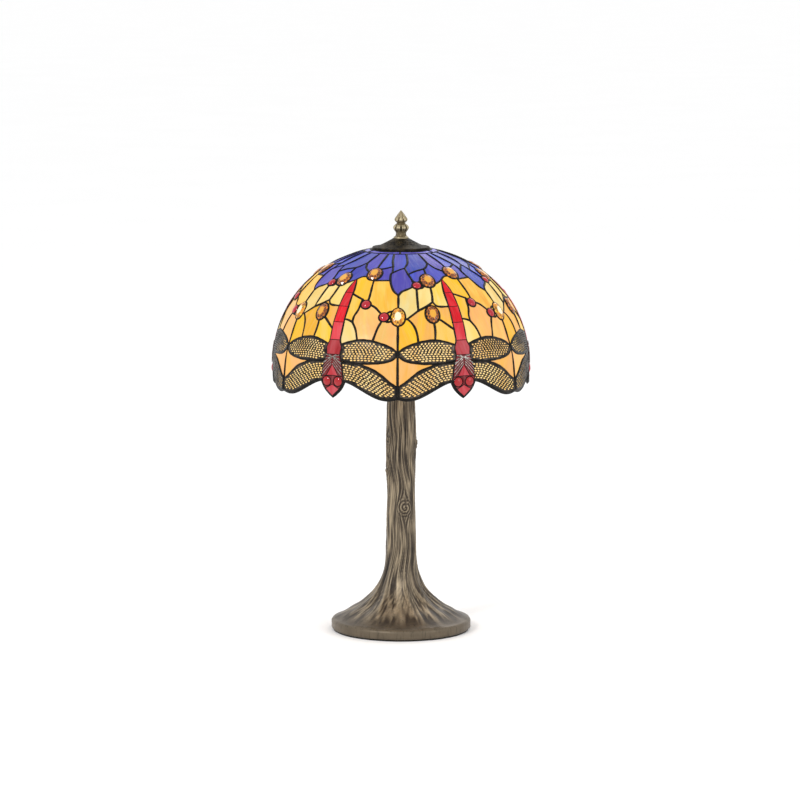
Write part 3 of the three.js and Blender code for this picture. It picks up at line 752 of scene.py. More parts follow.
LOOKS = {
    "amber_glass": glass_look("amber_glass", 0.74, 0.26),
    "blue_glass": glass_look("blue_glass", 0.66, 0.3, streak=0.9),
    "red_glass": glass_look("red_glass", 0.6, 0.34),
    "wing_glass": glass_look("wing_glass", 0.95, 0.3),
    "solder": metal_look("solder", (10, 8, 7), (40, 34, 30), 0.3, 0.4, 260.0, 0.2, (0.5, 0.72), 0.2),
    "filigree": metal_look("filigree", (24, 19, 16), (92, 82, 72), 0.6, 0.36, 160.0, 0.2, (0.4, 0.72), 0.3),
    "leg_wire": metal_look("leg_wire", (120, 114, 108), (196, 190, 184), 0.8, 0.3, 400.0, 0.1),
    "dark_bronze": metal_look("dark_bronze", (20, 16, 10), (54, 45, 28), 0.12, 0.5, 160.0, 0.2,
                              (0.42, 0.66), 0.12),
    "antique_brass": metal_look("antique_brass", (122, 101, 66), (160, 136, 92), 0.9, 0.3, 90.0, 0.1),
    "brass": metal_look("brass", (150, 118, 62), (206, 172, 104), 1.0, 0.28, 150.0, 0.1),
    "steel": metal_look("steel", (128, 128, 126), (176, 176, 174), 1.0, 0.3, 140.0, 0.1),
    "bulb_cap": metal_look("bulb_cap", (150, 150, 148), (196, 196, 192), 1.0, 0.25, 140.0, 0.1),
    "felt": metal_look("felt", (14, 14, 14), (34, 33, 32), 0.0, 0.88, 1500.0, 0.6),
    "black_plastic": metal_look("black_plastic", (18, 18, 19), (30, 30, 31), 0.0, 0.42, 400.0, 0.15),
    "porcelain": metal_look("porcelain", (226, 221, 208), (242, 238, 228), 0.0, 0.2, 90.0, 0.05),
    "red_jewel": jewel_look("red_jewel", 0.26, 0.42),
    "amber_jewel": jewel_look("amber_jewel", 0.62, 0.3),
    "cast_bronze": relief_look("cast_bronze", (54, 46, 38), (78, 68, 56), (20, 17, 13), (168, 152, 126),
                               0.5, 0.42),
    "leaf_brass": relief_look("leaf_brass", (100, 88, 64), (126, 111, 82), (28, 23, 15), (190, 177, 145),
                              0.75, 0.34),
}

# ---- the glass ------------------------------------------------------------------------------------

for sector in range(SECTORS):
    field, crown_glass, body, wing_panes = Shape(), Shape(), Shape(), Shape()
    for pane in layout.panes:
        if pane["zone"] == "jewel":
            continue
        tints = pane_tints(pane, sector)
        if pane["zone"] == "body":
            add_pane(body, pane, sector, tints, offset=0.7, crown=0.7)
        elif pane["zone"] == "wing":
            add_pane(wing_panes, pane, sector, tints, flatten=0.0)
        elif tints in BLUES or tints is ROYAL:
            add_pane(crown_glass, pane, sector, tints, amount=0.22)
        else:
            add_pane(field, pane, sector, tints)
    n = sector + 1
    field.make(f"field_panes_{n}", "shade", LOOKS["amber_glass"], "amber_glass", [f"field_glass_{n}"])
    wing_panes.make(f"wing_panes_{n}", "shade", LOOKS["wing_glass"], "opal_glass")
    crown_glass.make(f"crown_panes_{n}", "shade", LOOKS["blue_glass"], "blue_glass", [f"crown_glass_{n}"])
    body.make(f"dragonfly_panes_{n}", "shade", LOOKS["red_glass"], "red_glass", [f"dragonfly_{n}"])

# ---- the lead lines -------------------------------------------------------------------------------

HALF_WIDTH = {"field": 1.8, "rib": 1.9, "wing": 2.0, "body": 1.65, "inner": 1.2, "jewel": 1.75,
              "band": 1.4, "edge": 1.4}
HALF_HEIGHT = 2.35


def chains():
    """The kept lines of one sector, as runs between junctions, with each run's half width."""
    edges = {}
    for edge, names in layout.kept.items():
        a, b = sorted(edge)
        middle = (layout.points[a][0] + layout.points[b][0]) / 2 / FLAT_SCALE
        lowest = min(layout.points[a][1], layout.points[b][1])
        if -0.01 <= middle < SECTOR - 0.01 and lowest > Layout.BOTTOM + 1:
            edges[(a, b)] = max(HALF_WIDTH[group_of(n)] for n in names)
    neighbours = {}
    for a, b in edges:
        neighbours.setdefault(a, []).append(b)
        neighbours.setdefault(b, []).append(a)
    width = {**edges, **{(b, a): w for (a, b), w in edges.items()}}
    done, runs = set(), []

    def walk(start, following):
        run, a, b = [start, following], start, following
        done.add(frozenset((a, b)))
        while len(neighbours[b]) == 2 and b != start:
            onward = neighbours[b][0] if neighbours[b][0] != a else neighbours[b][1]
            if frozenset((b, onward)) in done or width[(b, onward)] != width[(a, b)]:
                break
            done.add(frozenset((b, onward)))
            run.append(onward)
            a, b = b, onward
        return run, width[(start, following)]

    ends = [v for v in neighbours if len(neighbours[v]) != 2]
    for v in sorted(ends) + sorted(neighbours):
        for other in sorted(neighbours[v]):
            if frozenset((v, other)) not in done:
                runs.append(walk(v, other))
    joints = [v for v in neighbours if len(neighbours[v]) > 2]
    return runs, joints, width, neighbours


def swept(centres, normals, half_width, half_height, sides=8, closed=False):
    """A round bead along centres. half_width may be one number or one for each point."""
    centres, normals = np.asarray(centres), np.asarray(normals)
    count = len(centres)
    if closed:
        ahead = np.roll(centres, -1, 0) - np.roll(centres, 1, 0)
    else:
        ahead = np.gradient(centres, axis=0)
    ahead = unit(ahead)
    across = unit(np.cross(ahead, normals))
    up = np.cross(across, ahead)
    width = np.broadcast_to(np.asarray(half_width, float), (count,)) * MM
    tall = np.broadcast_to(np.asarray(half_height, float), (count,)) * MM
    lines = []
    for k in range(sides):
        t = 2 * math.pi * k / sides
        lines.append(centres + across * (width * math.cos(t))[:, None] + up * (tall * math.sin(t))[:, None])
    verts = np.stack(lines, 1).reshape(-1, 3)
    faces = ring_faces(count, sides, closed)
    if not closed:
        faces.append(tuple(range(sides))[::-1])
        faces.append(tuple((count - 1) * sides + k for k in range(sides)))
    return verts, [f[::-1] for f in faces]


def make_all_round(shape, name, look, slot, replaces=None, crease=50):
    """Makes the shape once in each sector. Names of pieces and nodes end in the sector's number."""
    verts = np.vstack(shape.verts)
    for sector in range(SECTORS):
        n = sector + 1
        Shape().add(turned(verts, sector), shape.faces).make(
            f"{name}_{n}", "shade", LOOKS[look], slot, [f"{replaces}_{n}"] if replaces else (), crease=crease)


def frame_on_dome(spots, offset=0.0):
    phi, v = spots[:, 0] / FLAT_SCALE, spots[:, 1]
    centres = dome(phi, v, offset)
    return centres, unit(dome(phi, v, offset + 1.0) - centres)


def blob(centre, normal, radius, height, rings=4, sides=8):
    """A flattened drop of solder, as where lines meet."""
    side = np.cross(normal, (0.3, 0.5, 0.8))
    side /= np.linalg.norm(side)
    other = np.cross(normal, side)
    verts = [centre + normal * height * MM]
    for i in range(1, rings):
        t = math.pi * i / rings
        for k in range(sides):
            a = 2 * math.pi * k / sides
            verts.append(centre + normal * height * MM * math.cos(t)
                         + (side * math.cos(a) + other * math.sin(a)) * radius * MM * math.sin(t))
    verts.append(centre - normal * height * MM)
    faces = []
    last = len(verts) - 1
    for k in range(sides):
        m = (k + 1) % sides
        faces.append((0, 1 + k, 1 + m))
        for i in range(rings - 2):
            a, b = 1 + i * sides, 1 + (i + 1) * sides
            faces.append((a + k, b + k, b + m, a + m))
        faces.append((last, last - sides + m, last - sides + k))
    return np.array(verts), faces


lead_runs, lead_joints, lead_width, lead_neighbours = chains()
lead = Shape()
for run, half in lead_runs:
    spots = layout.points[run]
    closed = run[0] == run[-1] and len(run) > 3
    if closed:
        spots = spots[:-1]
    centres, normals = frame_on_dome(spots)
    wobble = np.array([noise.noise(Vector((s[0] * 0.21, s[1] * 0.21, 3.7))) for s in spots])
    half_height = HALF_HEIGHT + 0.2 * (half - HALF_WIDTH["field"])
    lead.add(*swept(centres, normals, half * (1 + 0.22 * wobble), half_height, closed=closed))
for v in lead_joints:
    half = max(lead_width[(v, other)] for other in lead_neighbours[v])
    centres, normals = frame_on_dome(layout.points[[v]])
    lead.add(*blob(centres[0], normals[0], half * 1.22, HALF_HEIGHT + 0.12))
make_all_round(lead, "lead_lines", "solder", "solder")

HOLE_REACH = 3  # no hole reaches further than this from its middle


def pierced(outline, holes, epsilon):
    """A flat outline with holes, cut into triangles: all the points, and the triangles that are solid."""
    points, edges = [], []
    for loop in [outline] + holes:
        base = len(points)
        points.extend(tuple(q) for q in loop)
        edges.extend((base + i, base + (i + 1) % len(loop)) for i in range(len(loop)))
    verts, _, faces, _, _, _ = delaunay_2d_cdt([Vector(q) for q in points], edges, [], 1, epsilon)
    spots = np.array([tuple(v) for v in verts])
    centres = np.array([spots[list(f)].mean(0) for f in faces])
    solid = inside(outline, centres)
    for hole in holes:
        near = np.abs(centres - np.mean(hole, 0)).max(1) < HOLE_REACH
        solid[near] &= ~inside(hole, centres[near])
    return spots, [f for f, ok in zip(faces, solid) if ok]


# ---- the pierced wings ----------------------------------------------------------------------------

CELL_PITCH, ROW_PITCH, PLATE_MARGIN = 3.7, 2.5, 1.3
CELL = [(1, 0), (0.62, 0.86), (-0.5, 0.95), (-1, 0.1), (-0.66, -0.86), (0.55, -0.95)]
CELLS_END, PLATE_END = 25.4, 26.3  # degrees, at the wing's root
PLATE_LOW, PLATE_HIGH = 1.4, 1.95


def curve_height(points):
    """Height of a smooth line, as a function of the angle."""
    line = np.array(catmull(flat(points)))
    order = np.argsort(line[:, 0])
    xs, ys = line[order, 0], line[order, 1]
    return lambda x: np.interp(x, xs, ys)


def wing_cells(wing, slanted):
    """The holes in a wing plate: rows of long cells that follow the wing."""
    low, high = curve_height(wing["low"]), curve_height(wing["high"])
    draw = random.Random(5 if slanted else 6)
    cells = []
    x0, x1 = wing["high"][0][0] * FLAT_SCALE, CELLS_END * FLAT_SCALE
    for row in range(-6, 7):
        x = x0 + 1.2 + (row % 2) * CELL_PITCH / 2
        while x < x1:
            middle = (low(x) + high(x)) / 2
            slope = (low(x + 1) + high(x + 1) - low(x - 1) - high(x - 1)) / 4
            y = middle + row * ROW_PITCH
            angle = math.atan(slope) + draw.uniform(-0.18, 0.18)
            long, wide = draw.uniform(1.35, 1.6), draw.uniform(0.78, 0.92)
            if slanted and row > -1 and x0 + 12 < x < x1 - 14:
                angle += 0.95
                long *= 0.9
            c, s = math.cos(angle), math.sin(angle)
            cell = np.array([(x + long * u * c - wide * w * s, y + long * u * s + wide * w * c)
                             for u, w in CELL])
            clear = np.all((cell[:, 1] < high(cell[:, 0]) - PLATE_MARGIN)
                           & (cell[:, 1] > low(cell[:, 0]) + PLATE_MARGIN)
                           & (cell[:, 0] > x0 + 1) & (cell[:, 0] < x1))
            if clear:
                cells.append(cell)
            x += CELL_PITCH * draw.uniform(0.93, 1.07)
    return cells


def wing_plate(wing, slanted):
    """A flat layout of the pierced plate: its points and triangles."""
    low = [q for q in catmull(flat(wing["low"])) if q[0] < PLATE_END * FLAT_SCALE]
    high = [q for q in catmull(flat(wing["high"])) if q[0] < PLATE_END * FLAT_SCALE]
    outline = [tuple(q) for q in low] + [tuple(q) for q in high[::-1]]
    spots, faces = pierced(outline, wing_cells(wing, slanted), 1e-4)
    return spots, turned_alike(spots, faces, 1e-7)


plates = [wing_plate(UPPER_WING, True), wing_plate(LOWER_WING, False)]
LEG_WIRES = [[(29.4, 23.5), (25.6, 14.5)], [(29.5, 20.8), (25.3, 10.2)], [(29.6, 18), (25.1, 6)],
             [(29.7, 15.2), (25.3, 2.2)], [(26.6, 25), (33.6, 20.4)], [(28.2, 25.3), (34.5, 16)]]


def plate_shape(mirrored):
    shape = Shape()
    for spots, triangles in plates:
        phi, v = spots[:, 0] / FLAT_SCALE, spots[:, 1]
        tris = triangles
        if mirrored:
            phi, tris = SECTOR - phi, [f[::-1] for f in triangles]
        verts = np.vstack([dome(phi, v, PLATE_HIGH), dome(phi, v, PLATE_LOW)])
        shape.add(verts, slab_faces(tris, len(spots)))
    return shape


for side, mirrored in (("left", False), ("right", True)):
    make_all_round(plate_shape(mirrored), f"pierced_wings_{side}", "filigree", "filigree", f"wings_{side}",
                   crease=40)

wires = Shape()
for leg in LEG_WIRES + [mirror(wire) for wire in LEG_WIRES]:
    centres, normals = frame_on_dome(np.array(catmull(flat(leg))), 2.9)
    wires.add(*swept(centres, normals, 0.45, 0.55, sides=6))
make_all_round(wires, "leg_wires", "leg_wire", "filigree")

# ---- jewels ---------------------------------------------------------------------------------------

BEAD_RED, EYE_RED = (206, 0, 36), (196, 0, 22)
# Tints of the cut ovals, from the edge to the middle: a painted glow of the bulb through the glass, darkest
# at the edge. The oval on the rib has a near-white painted glow at its table.
AMBER_EDGE, AMBER_MID = (98, 44, 8), (196, 112, 16)
AMBER_CORE, BULB_GLOW_CORE = (244, 176, 48), (255, 250, 214)


def jewel_axes(phi, v):
    centre = dome(phi, v)
    out = dome(phi, v, 1.0) - centre
    out /= np.linalg.norm(out)
    up = dome(phi, v + 0.5) - dome(phi, v - 0.5)
    up /= np.linalg.norm(up)
    return centre, np.cross(up, out), up, out


def cabochon(phi, v, rx, ry, tint, rings=8, sides=28):
    """A domed bead. Its back bulges a little inside the shade."""
    centre, right, up, out = jewel_axes(phi, v)
    verts = []
    profile_points = [(1.02 * math.sin(a), 0.4 + 3.4 * math.cos(a))
                      for a in (math.pi / 2 * i / rings for i in range(1, rings + 1))]
    profile_points += [(0.9, -1.4), (0.5, -2.1)]
    for share, height in profile_points:
        for k in range(sides):
            a = 2 * math.pi * k / sides
            verts.append(centre + (right * rx * share * math.cos(a) + up * ry * share * math.sin(a)
                                   + out * height) * MM)
    verts.append(centre + out * 3.8 * MM)
    verts.append(centre - out * 2.3 * MM)
    return close_rings(verts, len(profile_points), sides) + (tint,)


def close_rings(verts, rings, sides):
    faces = []
    top, bottom = len(verts) - 2, len(verts) - 1
    for k in range(sides):
        m = (k + 1) % sides
        faces.append((top, k, m))
        for i in range(rings - 1):
            a, b = i * sides, (i + 1) * sides
            faces.append((a + k, b + k, b + m, a + m))
        last = (rings - 1) * sides
        faces.append((bottom, last + m, last + k))
    return np.array(verts), faces


def faceted(phi, v, rx, ry, glows_from_bulb, sides=12):
    """A cut oval: a table, two rows of facets, and a point inside the shade. Faces don't share colours: they
    carry a painted glow of the bulb, brightest at the table and darkest at the edge, with painted glints.
    """
    centre, right, up, out = jewel_axes(phi, v)
    rows = [(0.46, 3.9, 0.0), (0.78, 3.0, 0.5), (1.0, 0.9, 0.0), (0.96, -1.2, 0.0), (0.5, -2.6, 0.5)]
    ring = [[centre + (right * rx * s * math.cos(2 * math.pi * (k + turn) / sides)
                       + up * ry * s * math.sin(2 * math.pi * (k + turn) / sides) + out * h) * MM
             for k in range(sides)] for s, h, turn in rows]
    tints = [linear(BULB_GLOW_CORE if glows_from_bulb else AMBER_CORE), linear(AMBER_CORE if glows_from_bulb else AMBER_MID),
             linear(AMBER_MID if glows_from_bulb else AMBER_EDGE), linear(AMBER_EDGE), linear(AMBER_EDGE)]
    verts, faces, colours = [], [], []

    def facet(corners, tint):
        base = len(verts)
        verts.extend(corners)
        colours.extend([tint] * len(corners))
        faces.append(tuple(base + i for i in range(len(corners))))

    facet(ring[0], tints[0])
    for k in range(sides):
        m, back = (k + 1) % sides, (k - 1) % sides
        # Neighbouring facets are made lighter and darker in turn: painted glints and painted shade.
        shift = 1 + 0.5 * math.sin(k * 2.4 + phi)
        pale = tuple(min(1, c * shift) for c in tints[1])
        deep = tuple(min(1, c * (1 + 0.7 * math.sin(k * 1.7 + phi + 2))) for c in tints[2])
        facet([ring[0][k], ring[1][k], ring[0][m]], pale)
        facet([ring[0][k], ring[1][back], ring[1][k]], deep)
        facet([ring[1][back], ring[2][k], ring[1][k]], pale)
        facet([ring[1][k], ring[2][k], ring[2][m]], deep)
        facet([ring[2][k], ring[3][k], ring[3][m], ring[2][m]], tints[3])
        facet([ring[3][k], ring[4][k], ring[3][m]], tints[3])
        facet([ring[3][m], ring[4][k], ring[4][m]], tints[4])
    facet(ring[4][::-1], tints[3])
    return np.array(verts), faces, np.array(colours)


for sector in range(SECTORS):
    beads, gems = Shape(), Shape()
    for name, phi, v, rx, ry in JEWELS:
        seed = np.array((rng.uniform(0, 50), 0, 0))
        if name.startswith("oval"):
            verts, faces, colours = faceted(phi, v, rx, ry, name == "oval_rib")
            gems.add(turned(verts, sector), faces, smooth=False, tint=colours, grain=verts / MM + seed)
        else:
            verts, faces, tint = cabochon(phi, v, rx, ry, EYE_RED if name == "eye" else BEAD_RED)
            beads.add(turned(verts, sector), faces, tint=linear(tint), grain=verts / MM + seed)
    beads.make(f"red_beads_{sector + 1}", "shade", LOOKS["red_jewel"], "red_glass", crease=60)
    gems.make(f"cut_jewels_{sector + 1}", "shade", LOOKS["amber_jewel"], "amber_glass", crease=0)

# ---- the rim --------------------------------------------------------------------------------------

RIM_HALF = [(0, -21.5), (4, -23.5), (8, -22), (12, -17.5), (17, -10.5), (21, -5.5), (24.4, -3.2),
            (25, -7), (26.6, -14), (30, -22.5)]
RIM_HALF_WIDTH, RIM_HALF_HEIGHT = 1.35, 1.5


def rim_wire():
    """The bead of solder that runs once round the rim, just below the glass."""
    half = catmull(flat(RIM_HALF), step=3)
    other = [np.array((SECTOR * FLAT_SCALE - q[0], q[1])) for q in half[::-1]]
    sector_line = np.array(half + other[1:-1])
    line = np.vstack([sector_line + (SECTOR * FLAT_SCALE * k, 0) for k in range(SECTORS)])
    gradient = np.roll(line, -1, 0) - np.roll(line, 1, 0)
    gradient[0] = line[1] - line[0]
    gradient[-1] = line[-1] - line[-2]
    gradient /= np.hypot(gradient[:, 0], gradient[:, 1])[:, None]
    down = np.stack([gradient[:, 1] / 1.14, -gradient[:, 0]], 1)
    centres, normals = frame_on_dome(line + down * RIM_HALF_WIDTH)
    return Shape().add(*swept(centres, normals, RIM_HALF_WIDTH, RIM_HALF_HEIGHT, sides=10, closed=True))


rim_wire().make("rim_bead", "shade", LOOKS["solder"], "solder", ["rim_wire"], crease=0)

# ---- turned and cast pieces -----------------------------------------------------------------------


def lathe(outline, segments=64, radius=None):
    """Closed surface of revolution from (r, z) points. radius(r, z, angle) may change the radius."""
    verts = []
    for r, z in outline:
        for k in range(segments):
            a = 2 * math.pi * k / segments
            rr = radius(r, z, a) if radius else r
            verts.append((rr * math.cos(a) * MM, rr * math.sin(a) * MM, z * MM))
    return np.array(verts), ring_faces(len(outline), segments)


TRUNK_PROFILE = [(3, 82), (10.5, 82), (12.6, 80.6), (13.4, 78.6), (15.5, 73.5), (19.5, 66), (24.4, 57.8),
                 (30, 47.5), (38.6, 37), (47, 29.8), (56, 24.8), (68, 20.8), (80, 18.7), (98, 17.7),
                 (127, 17.3), (149, 16.8), (168, 16.6), (188, 16.8), (212, 17.2), (230, 17.1),
                 (252, 16.5), (283, 15.6)]
TRUNK_TOP, TRUNK_SIDES = 283.0, 168
FOOT_TOP, ROOT_PEAK, ROOT_TOP = 13.4, 42, 95
# Knots: degrees round the trunk, height, how far it stands out, and the size of its spiral.
KNOTS = [(-74, 147, 2.6, 9), (-168, 188, 0.9, 6.5), (2, 221, 1.5, 6.5), (-150, 226, 0.4, 5)]


def smoothstep(x, a, b):
    t = min(1.0, max(0.0, (x - a) / (b - a)))
    return t * t * (3 - 2 * t)


def bark(az, z, r):
    """Change of radius at a place on the trunk, and how high it lies between groove and ridge; the foot's
    side below the bark is set high, lighter, as a painted sheen.
    """
    grow = smoothstep(z, FOOT_TOP, 22)
    # Below the bark, on the foot's side, the level is set high: a painted sheen on the rim.
    if grow == 0:
        return 0.0, 0.64
    bump, swirl, drift = 0.0, 0.0, 0.0
    for degrees, knot_z, height, size in KNOTS:
        turn = (az - math.radians(degrees) + math.pi) % (2 * math.pi) - math.pi
        dx, dz = turn * r, z - knot_z
        distance = math.hypot(dx, dz * 0.85)
        if distance > 34:
            continue
        bump += height * math.exp(-((distance / 7) ** 2))
        ring = math.exp(-((distance / size) ** 4))
        curl = math.atan2(dz, dx)
        swirl += ring * 0.75 * math.cos(distance * 2 * math.pi / 3.3 + curl)
        drift += math.copysign(1, dx) * 0.42 * math.exp(-((dx / 9) ** 2)) * math.exp(-((dz / 15) ** 2))
        grow *= 1 - 0.85 * ring
    a = az - drift * 17 / max(r, 17) + 0.16 * math.sin(z / 31) + 0.07 * math.sin(z / 11 + 2)
    c, s = math.cos(a), math.sin(a)
    broad = 0.6 * noise.noise(Vector((c * 2.6, s * 2.6, z / 90)))
    ridge = 1 - 2.2 * abs(noise.noise(Vector((c * 4.6 + 7, s * 4.6, z / 60))))
    fine = 1 - 2.6 * abs(noise.noise(Vector((c * 11, s * 11 + 5, z / 46))))
    flow = smoothstep(r, 19, 40)
    finer = 1 - 2.4 * abs(noise.noise(Vector((c * 19, s * 19 + 3, r / 26)))) if flow else 0.0
    fine = fine * (1 - flow) + finer * flow
    spread = 1 + 0.9 * flow
    shape = 0.7 * broad * spread + 0.65 * ridge * spread + 0.5 * fine - 0.6
    foot_fade = 1 - 0.8 * smoothstep(r, 50, 76)
    level = 0.48 + 0.3 * ridge + 0.34 * (fine - 0.4) + swirl * 0.75
    level = 0.46 + (min(1, max(0, level)) - 0.46) * max(grow * foot_fade ** 0.5, abs(swirl))
    # Near the foot the level is raised, lighter: the painted sheen fades out as the bark grows.
    return bump + swirl + shape * grow * foot_fade, level + 0.14 * (1 - grow)


def root_lift(az, z):
    """The roots that run out over the foot, as a share of the radius."""
    up = smoothstep(z, FOOT_TOP, ROOT_PEAK) * (1 - smoothstep(z, ROOT_PEAK, ROOT_TOP))
    return 0.055 * up * math.cos(9 * az) + (0.018 * math.cos(6 * az + z / 40) if z > FOOT_TOP else 0)


def trunk():
    rows = [np.array((p[1], p[0])) for p in TRUNK_PROFILE]
    side = catmull(rows, step=1.9)
    side = [np.array((81.0, 1.8))] + side
    segments = TRUNK_SIDES
    verts, relief = [], []
    for r, z in side:
        r, z = float(r), min(float(z), TRUNK_TOP)
        for k in range(segments):
            a = 2 * math.pi * k / segments
            change, level = bark(a, z, r)
            base = r * (1 + root_lift(a, z))
            near_top = smoothstep(z, TRUNK_TOP - 4, TRUNK_TOP)
            rr = base + change * (1 - near_top)
            verts.append((rr * math.cos(a) * MM, rr * math.sin(a) * MM, z * MM))
            relief.append((level, 0, 0))
    inner = [(5.3, 283), (5.3, 274), (10.5, 274), (10.5, 26), (5.3, 26), (5.3, 19.3), (42, 19.3), (60, 14),
             (73, 9), (73, 3.6), (76, 3.6), (76, 1.8)]
    for r, z in inner:
        for k in range(segments):
            a = 2 * math.pi * k / segments
            verts.append((r * math.cos(a) * MM, r * math.sin(a) * MM, z * MM))
            relief.append((0.4, 0, 0))
    return Shape().add(verts, ring_faces(len(side) + len(inner), segments), relief=np.array(relief))


trunk().make("bark_trunk", "stand", LOOKS["cast_bronze"], "cast_bronze", ["trunk_casting"], crease=60)

# The vent cap flares from a narrow neck to a wide rim, and three rows of holes let the heat out.
VENT_Z0, VENT_Z1, VENT_R0, VENT_R1, VENT_T, VENT_FLARE = 450.3, 462.2, 9.5, 33.5, 1.0, 1.3
VENT_SLICES = 24


def vent_height(r):
    s = (VENT_R1 - r) / (VENT_R1 - VENT_R0)
    return VENT_Z0 + VENT_T + (VENT_Z1 - VENT_Z0 - VENT_T) * s ** VENT_FLARE


def vent_cap():
    """One slice is laid out flat as (angle, radius), pierced, and repeated round the cap."""
    step = 2 * math.pi / VENT_SLICES
    radii = [VENT_R0, 11, 13, 15, 17.5, 20, 23, 26, 29, 32.4]
    outline = [(0, r) for r in radii] + [(step * k / 4, radii[-1]) for k in range(1, 4)]
    outline += [(step, r) for r in reversed(radii)] + [(step * k / 4, radii[0]) for k in (3, 2, 1)]
    holes = []
    for share, r, size in ((0.5, 13.2, 0.62), (0.24, 16.2, 0.72), (0.76, 16.2, 0.72), (0.5, 19.4, 0.85)):
        holes.append([(step * share + size * math.cos(t) / r, r + size * math.sin(t))
                      for t in (2 * math.pi * k / 8 for k in range(8))])
    spots, faces = pierced(outline, holes, 1e-6)
    grid = {}
    top, triangles = [], []

    def corner(a, r):
        a %= 2 * math.pi
        key = (round(a * 1e4) % round(2 * math.pi * 1e4), round(r * 1e4))
        if key not in grid:
            grid[key] = len(top)
            top.append((a, r))
        return grid[key]

    for k in range(VENT_SLICES):
        for f in faces:
            area = doubled_area(*(spots[i] for i in f))
            if abs(area) < 1e-9:
                continue
            corners = [corner(spots[i][0] + k * step, spots[i][1]) for i in f]
            triangles.append(tuple(corners) if area < 0 else tuple(corners[::-1]))
    a, r = np.array(top).T
    z = vent_height(r)
    outer = np.stack([r * np.cos(a), r * np.sin(a), z], 1)
    inner = np.stack([(r - 0.35) * np.cos(a), (r - 0.35) * np.sin(a), z - VENT_T * 1.05], 1)
    shape = Shape().add(np.vstack([outer, inner]) * MM, slab_faces(triangles, len(top)))
    rim = [(VENT_R1 - inward, VENT_Z0 + up) for inward, up in (
        (2.0, 0), (0.4, 0), (0, 0.35), (0, 1.7), (0.5, 2.3), (1.3, 2.35), (2.0, 1.7))]
    shape.add(*lathe(rim, 96))
    neck = [(4, VENT_Z1 - 1.6), (VENT_R0 - 0.9, VENT_Z1 - 1.6), (VENT_R0 + 0.3, VENT_Z1 - 0.9),
            (VENT_R0 - 0.1, VENT_Z1), (4, VENT_Z1)]
    shape.add(*lathe(neck, 64))
    return shape


vent_cap().make("pierced_vent", "shade", LOOKS["dark_bronze"], "dark_bronze", ["vent_cap"], crease=45)

# ---- the finial -----------------------------------------------------------------------------------

FINIAL_OUTLINE = [(8.8, 462.5), (8.8, 463.5), (8.2, 464.1), (6.4, 465.3), (5.8, 467.2), (6.0, 468.8),
                  (7.4, 471.1), (9.0, 474.2), (8.6, 476.3), (6.9, 478.3), (5.0, 479.8), (5.5, 480.9),
                  (6.9, 482.6), (7.3, 484.3), (6.6, 486.2), (5.2, 488.3), (3.7, 490.4), (2.3, 492.4),
                  (1.0, 494.1)]


FINIAL_Z0, SOCKET_R, SOCKET_TOP, FINIAL_SIDES = 462.5, 4.9, 476.5, 96
LEAVES = 8
LEAF_TIERS = ((468.4, 479.2, 0.0), (480.4, 488.6, math.pi / LEAVES))  # low, high and turn


def leaves(r, z, a):
    """Two tiers of leaves: each has a rounded edge, a midrib, and a gap to its neighbours."""
    for low, high, turn in LEAF_TIERS:
        if low < z < high:
            t = (z - low) / (high - low)
            share = ((a + turn) * LEAVES / (2 * math.pi)) % 1 - 0.5
            rise = math.sin(math.pi * t)
            edge = math.exp(-(((abs(share) - 0.5) / 0.13) ** 2))
            rib = math.exp(-((share / 0.09) ** 2))
            lip = math.exp(-(((abs(share) - 0.3) / 0.09) ** 2))
            return r - rise * (1.5 * edge - 0.35 * rib - 0.4 * lip) * (0.75 + 0.5 * t) * (r / 8)
    if z > 489:
        return r * (1 + 0.06 * math.cos(8 * a) * (495 - z) / 6)
    if 464.5 < z <= 468.4:
        return r * (1 + 0.03 * math.cos(16 * a))
    return r


def finial():
    rows = [np.array((r, z)) for r, z in FINIAL_OUTLINE]
    line = [rows[0]] + [rows[1]] + catmull(rows[1:], step=0.55)[1:] + [np.array((0.35, 494.85))]
    socket = [np.array(q) for q in (
        (0.02, 494.95), (0.02, SOCKET_TOP), (SOCKET_R, SOCKET_TOP), (SOCKET_R, FINIAL_Z0))]
    outline = [tuple(q) for q in line + socket]
    verts, faces = lathe(outline, FINIAL_SIDES, leaves)
    plain = np.repeat([r for r, _ in outline], FINIAL_SIDES)
    cut = plain - np.hypot(verts[:, 0], verts[:, 1]) / MM
    waist = np.repeat([math.exp(-((z - 466.6) / 1.5) ** 2) + math.exp(-((z - 479.8) / 1.3) ** 2)
                       for _, z in outline], FINIAL_SIDES)
    level = np.clip(0.72 - 0.75 * cut - 0.4 * waist, 0, 1)
    return Shape().add(verts, faces, relief=np.stack([level, 0 * level, 0 * level], 1))


finial().make("leafed_finial", "finial", LOOKS["leaf_brass"], "antique_brass", ["finial"], crease=60)

# ---- the harp, the lampholder and the bulb --------------------------------------------------------


def bent_wire(points, radius, sides=14, step=3):
    line = np.array(catmull(points, step=step))
    normals = np.tile((0.0, 1.0, 0.0), (len(line), 1))
    return swept(line * MM, normals, radius, radius, sides)


HARP_HALF = [(27, 299), (28.5, 307), (44, 328), (52, 362), (50, 396), (38, 425), (20, 439), (6, 443)]
harp = Shape()
path = [(x, 0, z) for x, z in HARP_HALF] + [(-x, 0, z) for x, z in HARP_HALF[::-1]]
harp.add(*bent_wire([np.array(p, float) for p in path], 2.0))
harp.add(*lathe([(3.3, 441), (8.4, 441), (9, 441.6), (9, 444.4), (8.4, 445), (3.3, 445)], 48))
for x in (-27, 27):
    sleeve, faces = lathe([(2.5, 288.4), (3.6, 288.4), (4, 288.9), (4, 301.8), (3.4, 303), (2.3, 303)], 32)
    harp.add(sleeve + np.array((x * MM, 0, 0)), faces)
harp.make("bent_harp", "stand", LOOKS["antique_brass"], "antique_brass", ["harp"], crease=45)

